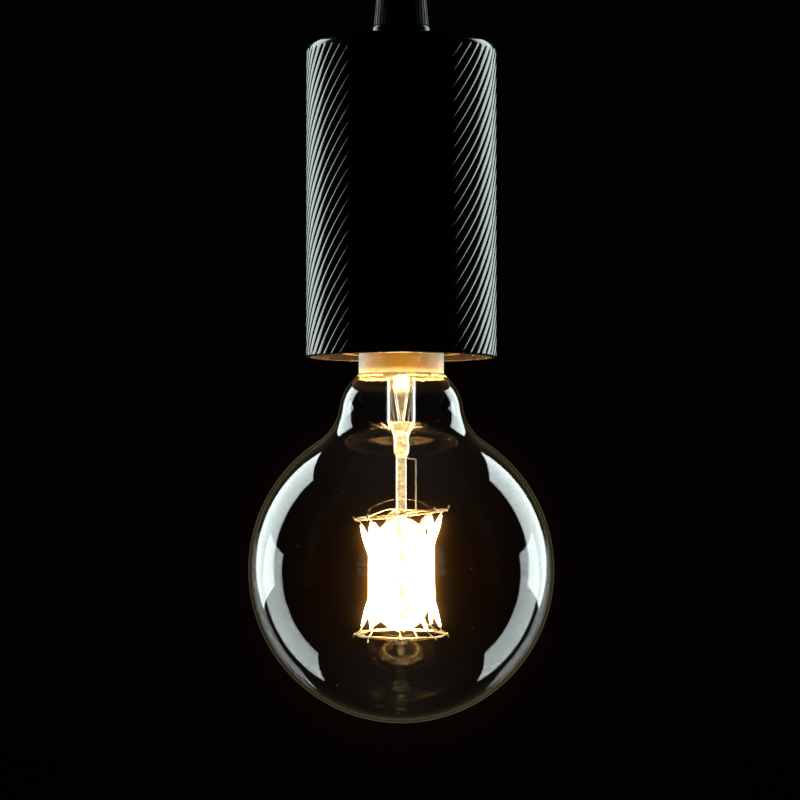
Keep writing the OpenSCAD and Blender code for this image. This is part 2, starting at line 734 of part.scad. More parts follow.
// Wires that hold both rings to the rod
module ring_supports() {
    color("#a58f5a") for (i = [0.5:2:filaments - 1]) {
        a = 360 * i / filaments;
        r = ring_r * cos(180 / filaments);
        out = [cos(a), sin(a), 0];
        bar([0, 0, rod_foot_z] + out * (bead_d / 2 - 0.3), [0, 0, lower_ring_z] + out * r, 0.5);
        bar([0, 0, upper_ring_z + 1.5] + out * (rod_d / 2 - 0.1), [0, 0, upper_ring_z] + out * r, 0.5);
    }
}

// One filament: a coated strip, with a bare strip at each end that bends out to the ring's corner
module filament(i) {
    strip_r = ring_r - filament_inset;
    a = corner(strip_r, upper_ring_z, 0, i);
    b = corner(strip_r, lower_ring_z, cage_twist, i);
    u = (b - a) / norm(b - a);
    strip_d = 0.5;
    sunk = 0.4;
    color("#ffcf70") union() {
        bar(corner(ring_r, upper_ring_z, 0, i), a + u * (filament_tab + sunk), strip_d);
        bar(a + u * filament_tab, b - u * filament_tab, filament_d);
        bar(b - u * (filament_tab + sunk), corner(ring_r, lower_ring_z, cage_twist, i), strip_d);
    }
}

// Driver board and what is on it
board_y = 4.6;
board_z = cap_top_z - board_h - 2.2;
module driver_board() {
    color("#2f6b45") translate([-board_w / 2, board_y, board_z]) cube([board_w, board_t, board_h]);
}
module driver_capacitor() {
    color("#3a3f66") translate([0, board_y - capacitor_d / 2, board_z + board_h - capacitor_h])
        cylinder(d = capacitor_d, h = capacitor_h, $fn = small_fn);
}
module bridge_rectifier() {
    color("#1c1c1e") translate([-board_w / 2 + 2.2, board_y + board_t, board_z + board_h - 7])
        cube([4.7, 2.2, 4]);
}
module driver_chip() {
    color("#1c1c1e") translate([1, board_y + board_t, board_z + board_h - 7]) cube([4.9, 1.6, 3.9]);
}
module fuse_resistor() {
    color("#7fb2c8") translate([-board_w / 2 + 2.6, board_y - 1.3, board_z + 3])
        cylinder(d = 2.6, h = 7, $fn = small_fn);
}

// Wires from the board to the tip and to the cap
module cap_wires() {
    y = board_y + board_t / 2;
    top = board_z + board_h;
    bend_z = top + 0.5;
    side_z = top - 2;
    color("#c0392b") union() {
        wire([[0, y, top], [0, y, bend_z], [0, 0, bend_z], [0, 0, tip_z - tip_gap]], 0.8, [1, 0, 0]);
        bar([board_w / 2, y, side_z], [sqrt(cap_bore_r * cap_bore_r - y * y) - 0.3, y, side_z], 0.6);
    }
}

spiral_shell();
cord_grip();
grip_bush();
grip_base();
threaded_tube();
fixing_washer();
earth_tag();
earth_screw();
fixing_nut();
dome_locknut();
socket_dome();
socket_skirt();
thread_sleeve();
terminal_block();
centre_contact();
sleeve_contact();
wire_clamps();
terminal_screws();
tip_contact();
cap_shell();
cap_insulator();
cap_collar();
cement_bead();
glass_globe();
flare_tube();
exhaust_tube();
stem_press();
glass_rod();
lead_wires();
upper_lead();
lower_lead();
upper_ring();
lower_ring();
ring_supports();
for (i = [1:filaments]) filament(i - 1);
driver_board();
driver_capacitor();
bridge_rectifier();
driver_chip();
fuse_resistor();
cap_wires();
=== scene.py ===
# Pendant lampholder with a lit globe filament bulb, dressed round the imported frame
import math
import bpy
import bmesh
from mathutils import Matrix, Quaternion, Vector, noise


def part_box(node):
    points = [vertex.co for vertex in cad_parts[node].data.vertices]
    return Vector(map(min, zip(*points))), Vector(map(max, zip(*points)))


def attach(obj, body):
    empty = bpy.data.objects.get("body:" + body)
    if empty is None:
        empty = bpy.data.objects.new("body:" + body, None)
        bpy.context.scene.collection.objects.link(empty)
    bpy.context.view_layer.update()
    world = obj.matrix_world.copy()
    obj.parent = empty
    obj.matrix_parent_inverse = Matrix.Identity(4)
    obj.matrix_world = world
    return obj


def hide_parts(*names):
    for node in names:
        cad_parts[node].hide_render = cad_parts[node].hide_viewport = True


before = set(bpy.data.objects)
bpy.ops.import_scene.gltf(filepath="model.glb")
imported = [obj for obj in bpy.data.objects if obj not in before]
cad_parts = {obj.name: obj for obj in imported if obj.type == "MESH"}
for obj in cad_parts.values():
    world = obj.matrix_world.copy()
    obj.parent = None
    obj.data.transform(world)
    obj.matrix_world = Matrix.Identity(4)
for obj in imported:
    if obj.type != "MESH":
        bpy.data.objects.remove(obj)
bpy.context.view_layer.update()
scene = bpy.context.scene
mm = 0.001  # the scene is in metres
turnAxis = Vector((0, 0, 1))
print("frame loaded:", len(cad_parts), "nodes")

# Places read from the frame
shellLow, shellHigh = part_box("spiral_shell")
gripLow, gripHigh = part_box("cord_grip")
baseLow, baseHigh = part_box("grip_base")
collarLow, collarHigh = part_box("cap_collar")
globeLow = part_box("glass_globe")[0]
flareLow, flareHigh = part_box("flare_tube")
exhaustLow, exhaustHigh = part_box("exhaust_tube")
pressLow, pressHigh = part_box("stem_press")
rodLow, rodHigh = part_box("glass_rod")
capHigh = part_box("cap_shell")[1]
sleeveLow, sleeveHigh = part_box("thread_sleeve")
upperRingLow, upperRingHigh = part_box("upper_ring")
lowerRingLow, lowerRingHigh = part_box("lower_ring")
rimZ = shellLow.z
footZ = collarLow.z
upperZ = (upperRingLow.z + upperRingHigh.z) / 2
lowerZ = (lowerRingLow.z + lowerRingHigh.z) / 2

# Camera at the photograph's angle
camera = {
    "lens": 145.7,  # long lens, in mm
    "sensor": 36,  # its width in mm
    "distance": 1.008,
    "height": -0.1785,  # level with the middle of the globe
    "pitch": 2.23,  # degrees up
    "side": -0.0004,
}
camData = bpy.data.cameras.new("camera")
camData.lens = camera["lens"]
camData.sensor_width = camera["sensor"]
camData.clip_start = 0.01
camData.clip_end = 50
cam = bpy.data.objects.new("camera", camData)
cam.location = (camera["side"], -camera["distance"], camera["height"])
cam.rotation_euler = (math.radians(90 + camera["pitch"]), 0, 0)
scene.collection.objects.link(cam)
scene.camera = cam


# Mesh helpers

def finishPiece(name, bm, mats, body, nodes, angle):
    # turns a bmesh into a piece that rides on its body and stands for CAD nodes
    mesh = bpy.data.meshes.new(name)
    bm.to_mesh(mesh)
    bm.free()
    for mat in mats:
        mesh.materials.append(mat)
    mesh.shade_smooth()
    mesh.set_sharp_from_angle(angle=math.radians(angle))
    piece = bpy.data.objects.new(name, mesh)
    scene.collection.objects.link(piece)
    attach(piece, body)
    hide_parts(*nodes)
    return piece


def lathe(points, steps=96, closed=True):
    # spins an outline of (radius, height) pairs about the axis
    bm = bmesh.new()
    verts = [bm.verts.new((r, 0, z)) for r, z in points]
    nextVerts = verts[1:] + verts[:1] if closed else verts[1:]
    edges = [bm.edges.new(pair) for pair in zip(verts, nextVerts)]
    bmesh.ops.spin(bm, geom=verts + edges, cent=(0, 0, 0), axis=turnAxis, dvec=(0, 0, 0),
                   angle=2 * math.pi, steps=steps, use_merge=True)
    bmesh.ops.remove_doubles(bm, verts=bm.verts, dist=0.001 * mm)
    bmesh.ops.recalc_face_normals(bm, faces=bm.faces)
    return bm


def arc(centre, radius, start, end, count):
    # points from start to end, in degrees
    angles = [math.radians(start + (end - start) * i / count) for i in range(count + 1)]
    return [(centre[0] + radius * math.cos(a), centre[1] + radius * math.sin(a)) for a in angles]


def roundedBox(low, high, edge, count=4):
    # closed section of a ring: (radius, height) corners rounded by edge
    (r0, z0), (r1, z1) = low, high
    return (arc((r1 - edge, z0 + edge), edge, -90, 0, count) + arc((r1 - edge, z1 - edge), edge, 0, 90, count)
            + arc((r0 + edge, z1 - edge), edge, 90, 180, count) + arc((r0 + edge, z0 + edge), edge, 180, 270, count))


def placeRing(verts, z, radiusOf):
    # each vertex keeps its angle and gets the radius that radiusOf gives for it
    for v in verts:
        angle = math.atan2(v.co.y, v.co.x)
        r = radiusOf(angle)
        v.co = Vector((r * math.cos(angle), r * math.sin(angle), z))


def startRing(count, z, radiusOf):
    # a bmesh with one ring of edges
    bm = bmesh.new()
    verts = bmesh.ops.create_circle(bm, segments=count, radius=1, cap_ends=False)["verts"]
    placeRing(verts, z, radiusOf)
    return bm, list(bm.edges)


def extrudeRing(bm, edges):
    made = bmesh.ops.extrude_edge_only(bm, edges=edges)["geom"]
    return ([g for g in made if isinstance(g, bmesh.types.BMVert)],
            [g for g in made if isinstance(g, bmesh.types.BMEdge)])


def growRing(bm, edges, z, radiusOf):
    # carries a ring of edges on to height z, with the radius that each angle has there
    verts, edges = extrudeRing(bm, edges)
    placeRing(verts, z, radiusOf)
    return edges


def growOutline(bm, edges, outline):
    # carries a ring of edges along (radius, height) pairs
    for r, z in outline:
        edges = growRing(bm, edges, z, lambda angle, r=r: r)
    return edges


def closeRing(bm, first, last):
    # joins the two open rings of a skin
    bmesh.ops.bridge_loops(bm, edges=first + last)
    bmesh.ops.recalc_face_normals(bm, faces=bm.faces)


def smoothRoute(points, parts):
    # Catmull-Rom curve through the points
    pts = [Vector(p) for p in points]
    ends = [2 * pts[0] - pts[1]] + pts + [2 * pts[-1] - pts[-2]]
    route = []
    for i in range(1, len(ends) - 2):
        a, b, c, d = ends[i - 1:i + 3]
        for k in range(parts):
            t = k / parts
            route.append(0.5 * (2 * b + (c - a) * t + (2 * a - 5 * b + 4 * c - d) * t * t
                                + (3 * b - a - 3 * c + d) * t ** 3))
    route.append(pts[-1])
    return route


def sweepWire(bm, route, radius, sides=8):
    # a round wire along the route, closed at both ends
    last = len(route) - 1
    ways = [(route[min(i + 1, last)] - route[max(i - 1, 0)]).normalized() for i in range(last + 1)]
    verts = bmesh.ops.create_circle(bm, segments=sides, radius=radius, cap_ends=False)["verts"]
    edges = list({e for v in verts for e in v.link_edges})
    quat = ways[0].to_track_quat("Z", "Y")
    previous = Matrix.Identity(4)
    for i, (point, way) in enumerate(zip(route, ways)):
        if i:
            quat = ways[i - 1].rotation_difference(way) @ quat
            verts, edges = extrudeRing(bm, edges)
        here = Matrix.Translation(point) @ quat.to_matrix().to_4x4()
        bmesh.ops.transform(bm, matrix=here @ previous.inverted(), verts=verts)
        previous = here
        if i in (0, last):
            bmesh.ops.edgeloop_fill(bm, edges=edges)


def wirePiece(name, routes, radius, mat, node):
    bm = bmesh.new()
    for route in routes:
        sweepWire(bm, route, radius)
    bmesh.ops.recalc_face_normals(bm, faces=bm.faces)
    finishPiece(name, bm, [mat], "bulb", [node], angle=50)


# Material helpers

def addNode(tree, kind, **values):
    made = tree.nodes.new(kind)
    for key, value in values.items():
        setattr(made, key, value)
    return made


def setInputs(node, **values):
    # sets sockets by name, with _ for a space
    for key, value in values.items():
        node.inputs[key.replace("_", " ")].default_value = value


def linkAll(tree, *pairs):
    for source, target in pairs:
        tree.links.new(source, target)


def newMaterial(name, color, rough, metal=0.0, **sockets):
    mat = bpy.data.materials.new(name)
    mat.use_nodes = True
    shader = mat.node_tree.nodes["Principled BSDF"]
    setInputs(shader, Base_Color=(*color, 1), Roughness=rough, Metallic=metal, **sockets)
    return mat, mat.node_tree, shader


def buildGroup(name, inputs, outputs):
    group = bpy.data.node_groups.new(name, "ShaderNodeTree")
    for label, kind, value in inputs:
        socket = group.interface.new_socket(name=label, in_out="INPUT", socket_type=kind)
        if value is not None:
            socket.default_value = value
    for label, kind in outputs:
        group.interface.new_socket(name=label, in_out="OUTPUT", socket_type=kind)
    return group, addNode(group, "NodeGroupInput"), addNode(group, "NodeGroupOutput")


# Grain: colour, roughness and height of a slightly uneven surface
grainGroup, gIn, gOut = buildGroup(
    "surfaceGrain",
    [("Color", "NodeSocketColor", None), ("Dark", "NodeSocketColor", None), ("Scale", "NodeSocketFloat", 300.0),
     ("Roughness", "NodeSocketFloat", 0.4), ("Spread", "NodeSocketFloat", 0.1)],
    [("Color", "NodeSocketColor"), ("Roughness", "NodeSocketFloat"), ("Height", "NodeSocketFloat")])
gCoord = addNode(grainGroup, "ShaderNodeTexCoord")
gFine = addNode(grainGroup, "ShaderNodeTexNoise")
setInputs(gFine, Detail=6)
gCoarse = addNode(grainGroup, "ShaderNodeTexNoise")
setInputs(gCoarse, Scale=38, Detail=3)
gMix = addNode(grainGroup, "ShaderNodeMix", data_type="RGBA")
gRough = addNode(grainGroup, "ShaderNodeMath", operation="MULTIPLY_ADD")
gCentre = addNode(grainGroup, "ShaderNodeMath", operation="SUBTRACT")
gCentre.inputs[1].default_value = 0.5
linkAll(
    grainGroup,
    (gCoord.outputs["Object"], gFine.inputs["Vector"]), (gCoord.outputs["Object"], gCoarse.inputs["Vector"]),
    (gIn.outputs["Scale"], gFine.inputs["Scale"]), (gCoarse.outputs["Fac"], gMix.inputs["Factor"]),
    (gIn.outputs["Color"], gMix.inputs["A"]), (gIn.outputs["Dark"], gMix.inputs["B"]),
    (gMix.outputs["Result"], gOut.inputs["Color"]), (gFine.outputs["Fac"], gCentre.inputs[0]),
    (gCentre.outputs[0], gRough.inputs[0]), (gIn.outputs["Spread"], gRough.inputs[1]),
    (gIn.outputs["Roughness"], gRough.inputs[2]), (gRough.outputs[0], gOut.inputs["Roughness"]),
    (gFine.outputs["Fac"], gOut.inputs["Height"]))


def addBump(tree, shader, height, strength, distance):
    bump = addNode(tree, "ShaderNodeBump")
    setInputs(bump, Strength=strength, Distance=distance)
    linkAll(tree, (height, bump.inputs["Height"]), (bump.outputs["Normal"], shader.inputs["Normal"]))


def grainMaterial(name, color, dark, rough, metal=0.0, scale=300.0, spread=0.12, bump=0.02, **sockets):
    # dark is the second colour, and bump the grain's height in mm
    mat, tree, shader = newMaterial(name, color, rough, metal, **sockets)
    grain = addNode(tree, "ShaderNodeGroup", node_tree=grainGroup)
    setInputs(grain, Color=(*color, 1), Dark=(*dark, 1), Scale=scale, Roughness=rough, Spread=spread)
    linkAll(tree, (grain.outputs["Color"], shader.inputs["Base Color"]),
            (grain.outputs["Roughness"], shader.inputs["Roughness"]))
    addBump(tree, shader, grain.outputs["Height"], 0.6, bump * mm)
    return mat


def paintedGlowNoise(tree, shader, color, scale, low, high, fade=None, weak=0.3):
    # an uneven painted glow in the emission colour, on parts that are no lamp; fade is (height where it is weak,
    # height where it is full)
    coord = addNode(tree, "ShaderNodeTexCoord")
    patch = addNode(tree, "ShaderNodeTexNoise")
    setInputs(patch, Scale=scale, Detail=4)
    level = addNode(tree, "ShaderNodeMapRange")
    setInputs(level, From_Min=0.36, From_Max=0.62, To_Min=low, To_Max=high)  # the noise hardly leaves this range
    linkAll(tree, (coord.outputs["Object"], patch.inputs["Vector"]), (patch.outputs["Fac"], level.inputs["Value"]))
    mask = level.outputs["Result"]
    if fade:
        split = addNode(tree, "ShaderNodeSeparateXYZ")
        slope = addNode(tree, "ShaderNodeMapRange")
        setInputs(slope, From_Min=fade[0], From_Max=fade[1], To_Min=weak)
        product = addNode(tree, "ShaderNodeMath", operation="MULTIPLY")
        linkAll(tree, (coord.outputs["Object"], split.inputs["Vector"]), (split.outputs["Z"], slope.inputs["Value"]),
                (slope.outputs["Result"], product.inputs[0]), (mask, product.inputs[1]))
        mask = product.outputs["Value"]
    tint = addNode(tree, "ShaderNodeMix", data_type="RGBA")
    setInputs(tint, A=(0, 0, 0, 1), B=(*color, 1))
    linkAll(tree, (mask, tint.inputs["Factor"]), (tint.outputs["Result"], shader.inputs["Emission Color"]))


def glassMaterial(name, color, rough, waves, depth, glow=None, glowScale=300, glowStrength=0.0, fade=None, weak=0.3):
    # waves is the scale of the glass's slight waves, and depth their height in mm
    mat, tree, shader = newMaterial(name, color, rough, 0.0, Transmission_Weight=1.0, IOR=1.5,
                                    Emission_Strength=glowStrength)
    # glow, glowScale and glowStrength paint a glow into the glass's emission, as if lit through
    if glow:
        paintedGlowNoise(tree, shader, glow, glowScale, 0.15, 1.0, fade, weak)
    coord = addNode(tree, "ShaderNodeTexCoord")
    wave = addNode(tree, "ShaderNodeTexNoise")
    setInputs(wave, Scale=waves, Detail=2)
    linkAll(tree, (coord.outputs["Object"], wave.inputs["Vector"]))
    addBump(tree, shader, wave.outputs["Fac"], 0.5, depth * mm)
    return mat


print("helpers ready")

# Finishes: colour, second colour, roughness
shellPaint = grainMaterial("shellPaint", (0.008, 0.0095, 0.0095), (0.005, 0.006, 0.006), 0.13, scale=900,
                           bump=0.01, IOR=1.85)
# the mouth finish is a darker copy of the inside finish: painted shade just inside the rim
shellMouthShade = grainMaterial("shellMouthShade", (0.06, 0.04, 0.018), (0.035, 0.022, 0.01), 0.45, metal=0.3, scale=500)
shellInside = grainMaterial("shellInside", (0.13, 0.09, 0.045), (0.08, 0.055, 0.03), 0.45, metal=0.5, scale=500)
gripPlastic = grainMaterial("gripPlastic", (0.012, 0.013, 0.013), (0.007, 0.007, 0.008), 0.4, scale=1200,
                            bump=0.06, Specular_IOR_Level=0.22)
skirtBeige = grainMaterial("skirtBeige", (0.19, 0.13, 0.035), (0.15, 0.1, 0.025), 0.4, scale=300)
basePaint = grainMaterial("basePaint", (0.01, 0.012, 0.012), (0.006, 0.007, 0.007), 0.16, scale=700, bump=0.01)
bushRubber = grainMaterial("bushRubber", (0.03, 0.029, 0.027), (0.018, 0.017, 0.016), 0.72, scale=900, bump=0.06)
brass = grainMaterial("brass", (0.78, 0.56, 0.24), (0.55, 0.36, 0.13), 0.3, metal=1.0, scale=420)
springBrass = grainMaterial("springBrass", (0.82, 0.63, 0.3), (0.62, 0.44, 0.18), 0.24, metal=1.0, scale=420)
zincSteel = grainMaterial("zincSteel", (0.62, 0.63, 0.64), (0.45, 0.46, 0.48), 0.34, metal=1.0, scale=380)
bakelite = grainMaterial("bakelite", (0.02, 0.015, 0.012), (0.01, 0.008, 0.007), 0.28, scale=260)
porcelain = grainMaterial("porcelain", (0.82, 0.79, 0.72), (0.72, 0.68, 0.6), 0.3, scale=300)
solder = grainMaterial("solder", (0.66, 0.65, 0.62), (0.5, 0.49, 0.46), 0.33, metal=1.0, scale=240, bump=0.08)
capMetal = grainMaterial("capMetal", (0.72, 0.72, 0.72), (0.55, 0.55, 0.56), 0.22, metal=1.0, scale=500)
blackGlass = grainMaterial("blackGlass", (0.012, 0.011, 0.01), (0.008, 0.007, 0.006), 0.12, scale=200)
leadMetal = grainMaterial("leadMetal", (0.5, 0.42, 0.32), (0.3, 0.24, 0.17), 0.3, metal=1.0, scale=900)
cageMetal = grainMaterial("cageMetal", (0.62, 0.5, 0.32), (0.4, 0.3, 0.17), 0.28, metal=1.0, scale=900)
boardGreen = grainMaterial("boardGreen", (0.03, 0.16, 0.07), (0.02, 0.1, 0.05), 0.42, scale=800)
capacitorSleeve = grainMaterial("capacitorSleeve", (0.02, 0.025, 0.08), (0.012, 0.015, 0.05), 0.25, scale=500)
chipBlack = grainMaterial("chipBlack", (0.02, 0.02, 0.021), (0.012, 0.012, 0.012), 0.6, scale=1500)
resistorBlue = grainMaterial("resistorBlue", (0.2, 0.42, 0.55), (0.14, 0.32, 0.44), 0.28, scale=600)
wireRed = grainMaterial("wireRed", (0.45, 0.02, 0.015), (0.3, 0.012, 0.01), 0.38, scale=700)
capCement = grainMaterial("capCement", (0.16, 0.1, 0.04), (0.1, 0.06, 0.02), 0.7, scale=700, bump=0.1)
stemGlass = glassMaterial("stemGlass", (1.0, 0.98, 0.94), 0.0, 160, 0.05)
# the press, exhaust tube and rod get a painted glow in their emission, as if lit through by the filaments; on the
# exhaust tube it is weaker lower down
pressGlass = glassMaterial("pressGlass", (1.0, 0.95, 0.84), 0.03, 420, 0.3, (1.0, 0.66, 0.26), 520, 1.0)
exhaustGlass = glassMaterial("exhaustGlass", (1.0, 0.96, 0.86), 0.02, 240, 0.1, (1.0, 0.7, 0.34), 420, 1.3,
                             fade=(footZ - 6 * mm, footZ - 3 * mm), weak=0.15)
rodGlass = glassMaterial("rodGlass", (1.0, 0.96, 0.88), 0.04, 700, 0.12, (1.0, 0.7, 0.32), 1500, 0.7)
print("finishes ready")

# Spiral shell: one planar ring of reeds is spun up the axis
shell = {
    "reeds": 50,
    "depth": 0.3 * mm,  # of the grooves between reeds
    "roundness": 3.2,  # 2 is a plain arch, more is flatter on top
    "lean": 38.3,  # degrees from the vertical
    "pointsPerReed": 12,
    "rings": 72,
    "rimEdge": 0.55 * mm,
    "rimSteps": (30, 60, 90),  # degrees round the rim's edge
    "shadedMouth": 3.2 * mm,  # how far the painted shade inside the mouth reaches up from the rim
    "mouthWidth": 0.25 * mm,  # of the chamfer inside the mouth
    "mouthHeight": 0.3 * mm,
    "wall": 1.8 * mm,
    "topWall": 2.0 * mm,
    "innerChamfer": 1.5 * mm,
    "shoulder": 3.1 * mm,
    "shoulderTuck": 0.12 * mm,  # how far the plain shoulder lies inside the reeds
    "shoulderRise": 0.35 * mm,
    "hole": 5.05 * mm,
}
shellR = (shellHigh.x - shellLow.x) / 2
reedFoot = rimZ + shell["rimEdge"]
reedTop = shellHigh.z - shell["shoulder"]
turnPerMetre = math.tan(math.radians(shell["lean"])) / shellR


def reedRadius(angle):
    phase = (angle * shell["reeds"] / (2 * math.pi)) % 1.0
    return shellR - shell["depth"] * abs(2 * phase - 1) ** shell["roundness"]


bm, rimEdges = startRing(shell["reeds"] * shell["pointsPerReed"], reedFoot, reedRadius)
spun = bmesh.ops.spin(bm, geom=list(bm.verts) + rimEdges, cent=(0, 0, 0), axis=turnAxis,
                      dvec=(0, 0, (reedTop - reedFoot) / shell["rings"]),
                      angle=turnPerMetre * (reedTop - reedFoot), steps=shell["rings"])
edges = [g for g in spun["geom_last"] if isinstance(g, bmesh.types.BMEdge)]
for a in shell["rimSteps"]:
    drop = shell["rimEdge"] * math.sin(math.radians(a))
    tuck = shell["rimEdge"] * (1 - math.cos(math.radians(a)))
    rimEdges = growRing(bm, rimEdges, reedFoot - drop,
                        lambda angle, d=drop, t=tuck: reedRadius(angle + turnPerMetre * d) - t)
flatR = shellR - shell["shoulder"]
bore = shellR - shell["wall"]
innerTop = shellHigh.z - shell["topWall"]
mouthShadeZ = rimZ + shell["shadedMouth"]
edges = growOutline(
    bm, edges,
    [(shellR - shell["shoulderTuck"], reedTop + shell["shoulderRise"])]
    + arc((flatR, reedTop), shell["shoulder"] - 0.1 * mm, 12, 90, 7)
    + [(flatR - 0.2 * mm, shellHigh.z), (shell["hole"], shellHigh.z), (shell["hole"], innerTop),
       (bore - shell["innerChamfer"], innerTop), (bore, innerTop - shell["innerChamfer"]), (bore, mouthShadeZ),
       (bore, rimZ + shell["mouthHeight"]), (bore + shell["mouthWidth"], rimZ)])
closeRing(bm, rimEdges, edges)
# inside faces near the rim take the darker mouth finish as painted shade, deeper ones the bare inside finish
for f in bm.faces:
    middle = f.calc_center_median()
    isInside = middle.xy.length < bore + 0.3 * mm and middle.z < innerTop + 0.1 * mm
    f.material_index = 0 if not isInside else 1 if middle.z < mouthShadeZ else 2
finishPiece("spiralShell", bm, [shellPaint, shellMouthShade, shellInside], "lampholder", ["spiral_shell"],
            angle=38)
print("spiral shell done")

# Cord grip: ribs that die out below the mouth
grip = {
    "ribs": 36,
    "depth": 0.45 * mm,
    "crown": 2.4,  # more gives flatter crowns and narrower grooves
    "pointsPerRib": 8,
    "rows": [(0.01, 1.0), (0.25, 1.0), (0.5, 1.0), (0.75, 1.0), (0.9, 1.0), (0.93, 0.5), (0.95, 0.0)],  # height, depth
    "topR": 6.7 * mm,
    "topEdge": 1.0 * mm,
    "bore": 3.6 * mm,
    "boreEdge": 0.6 * mm,
    "boreLength": 9 * mm,  # from the mouth down to the bush
    "bushR": 5.2 * mm,
    "bushFoot": 14 * mm,  # below the mouth
    "threadR": 6.4 * mm,
    "footEdge": 0.15 * mm,
    "footLip": 0.8 * mm,
}
gripFootR = (gripHigh.x - gripLow.x) / 2
gripHeight = gripHigh.z - gripLow.z


def ribbedRadius(angle, base, share):
    phase = (angle * grip["ribs"] / (2 * math.pi)) % 1.0
    crown = min(1.0, grip["crown"] * (1 - abs(2 * phase - 1)))
    return base - grip["depth"] * share * (1 - crown) ** 1.3


bm, first = startRing(grip["ribs"] * grip["pointsPerRib"], gripLow.z,
                      lambda angle: ribbedRadius(angle, gripFootR - grip["footEdge"], 1))
edges = first
for share, ribShare in grip["rows"]:
    rowR = gripFootR + (grip["topR"] - gripFootR) * share
    edges = growRing(bm, edges, gripLow.z + share * gripHeight,
                     lambda angle, r=rowR, s=ribShare: ribbedRadius(angle, r, s))
boreFoot = gripHigh.z - grip["boreLength"]
bushFoot = gripHigh.z - grip["bushFoot"]
edges = growOutline(
    bm, edges,
    arc((grip["topR"] - grip["topEdge"], gripHigh.z - grip["topEdge"]), grip["topEdge"], 20, 90, 5)
    + arc((grip["bore"] + grip["boreEdge"], gripHigh.z - grip["boreEdge"]), grip["boreEdge"], 90, 180, 4)
    + [(grip["bore"], boreFoot), (grip["bushR"], boreFoot), (grip["bushR"], bushFoot), (grip["threadR"], bushFoot),
       (grip["threadR"], gripLow.z), (gripFootR - grip["footLip"], gripLow.z)])
closeRing(bm, edges, first)
finishPiece("ribbedGrip", bm, [gripPlastic], "lampholder", ["cord_grip"], angle=35)

# Base ring below the grip, with soft edges
base = {
    "bore": 3.8 * mm,
    "tubeR": 5.0 * mm,  # seat of the threaded tube
    "tubeSeat": 7 * mm,  # its height
    "topEdge": 0.9 * mm,
    "footEdge": 0.5 * mm,
}
baseR = (baseHigh.x - baseLow.x) / 2
seatTop = baseLow.z + base["tubeSeat"]
basePoints = ([(base["bore"], baseHigh.z), (grip["threadR"], baseHigh.z), (grip["threadR"], gripLow.z)]
              + arc((baseR - base["topEdge"], gripLow.z - base["topEdge"]), base["topEdge"], 90, 0, 6)
              + arc((baseR - base["footEdge"], baseLow.z + base["footEdge"]), base["footEdge"], 0, -90, 4)
              + [(base["tubeR"], baseLow.z), (base["tubeR"], seatTop), (base["bore"], seatTop)])
finishPiece("gripBaseRing", lathe(basePoints), [basePaint], "lampholder", ["grip_base"], angle=35)
print("cord grip done")

# Cap and socket threads, drawn row by row and finer than in the frame
thread = {
    "pitch": 3.629 * mm,
    "major": 13.1 * mm,
    "minor": 12.05 * mm,
    "start": 1.7 * mm,  # above the collar
    "run": 17.8 * mm,
    "fade": 0.6 * mm,  # height in which it dies out
    "gap": 0.28 * mm,  # between cap and sleeve, on the radius
    "rowHeight": 0.3 * mm,
    "around": 144,
}
cap = {
    "bore": 11.45 * mm,
    "shoulderR": 11.25 * mm,
    "shoulder": 0.3 * mm,
    "lipR": 11.0 * mm,
    "hole": 10.6 * mm,
    "wall": 0.6 * mm,
}
sleeve = {
    "wall": 0.6 * mm,
    "flange": 0.8 * mm,
    "flangeEdge": 0.05 * mm,
    "overrun": 1.2 * mm,  # how much higher its thread ends
}
threadZ = collarHigh.z + thread["start"]
threadTop = threadZ + thread["run"]


def threadedRing(lowZ, highZ, radiusOf):
    # a skin whose radius follows radiusOf(angle, z)
    bm, first = startRing(thread["around"], lowZ, lambda angle: radiusOf(angle, lowZ))
    edges = first
    rows = round((highZ - lowZ) / thread["rowHeight"])
    for i in range(1, rows + 1):
        z = lowZ + (highZ - lowZ) * i / rows
        edges = growRing(bm, edges, z, lambda angle, z=z: radiusOf(angle, z))
    return bm, first, edges


def threadWave(angle, z):
    return (1 + math.cos(2 * math.pi * (z - threadZ) / thread["pitch"] - angle)) / 2


def fadeIn(z, low, high):
    return max(0.0, min(1.0, (z - low) / thread["fade"], (high - z) / thread["fade"]))


def capRadius(angle, z):
    foot = threadZ - thread["fade"]
    if z < foot:
        return thread["major"]
    share = fadeIn(z, foot, threadTop)
    return thread["minor"] + (thread["major"] - thread["minor"]) * share * threadWave(angle, z)


def sleeveRadius(angle, z):
    share = fadeIn(z, threadZ + thread["fade"], threadTop + sleeve["overrun"])
    depth = (thread["major"] - thread["minor"]) * share * (1 - threadWave(angle, z))
    return thread["major"] + thread["gap"] - depth


bm, first, edges = threadedRing(collarHigh.z, threadTop, capRadius)
edges = growOutline(bm, edges, [
    (cap["shoulderR"], capHigh.z - cap["shoulder"]), (cap["lipR"], capHigh.z), (cap["hole"], capHigh.z),
    (cap["hole"], capHigh.z - cap["wall"]), (cap["bore"], threadTop - cap["wall"]), (cap["bore"], collarHigh.z)])
closeRing(bm, first, edges)
finishPiece("bulbCap", bm, [capMetal], "bulb", ["cap_shell"], angle=40)
sleeveR = thread["major"] + thread["gap"] + sleeve["wall"]
flangeR = (sleeveHigh.x - sleeveLow.x) / 2
flangeTop = sleeveLow.z + sleeve["flange"]
bm, first, edges = threadedRing(sleeveLow.z + sleeve["flangeEdge"], sleeveHigh.z, sleeveRadius)
edges = growOutline(bm, edges, [(sleeveR, sleeveHigh.z), (sleeveR, flangeTop), (flangeR, flangeTop),
                                (flangeR, sleeveLow.z)])
closeRing(bm, first, edges)
finishPiece("socketThread", bm, [brass], "lampholder", ["thread_sleeve"], angle=40)
print("threads done")
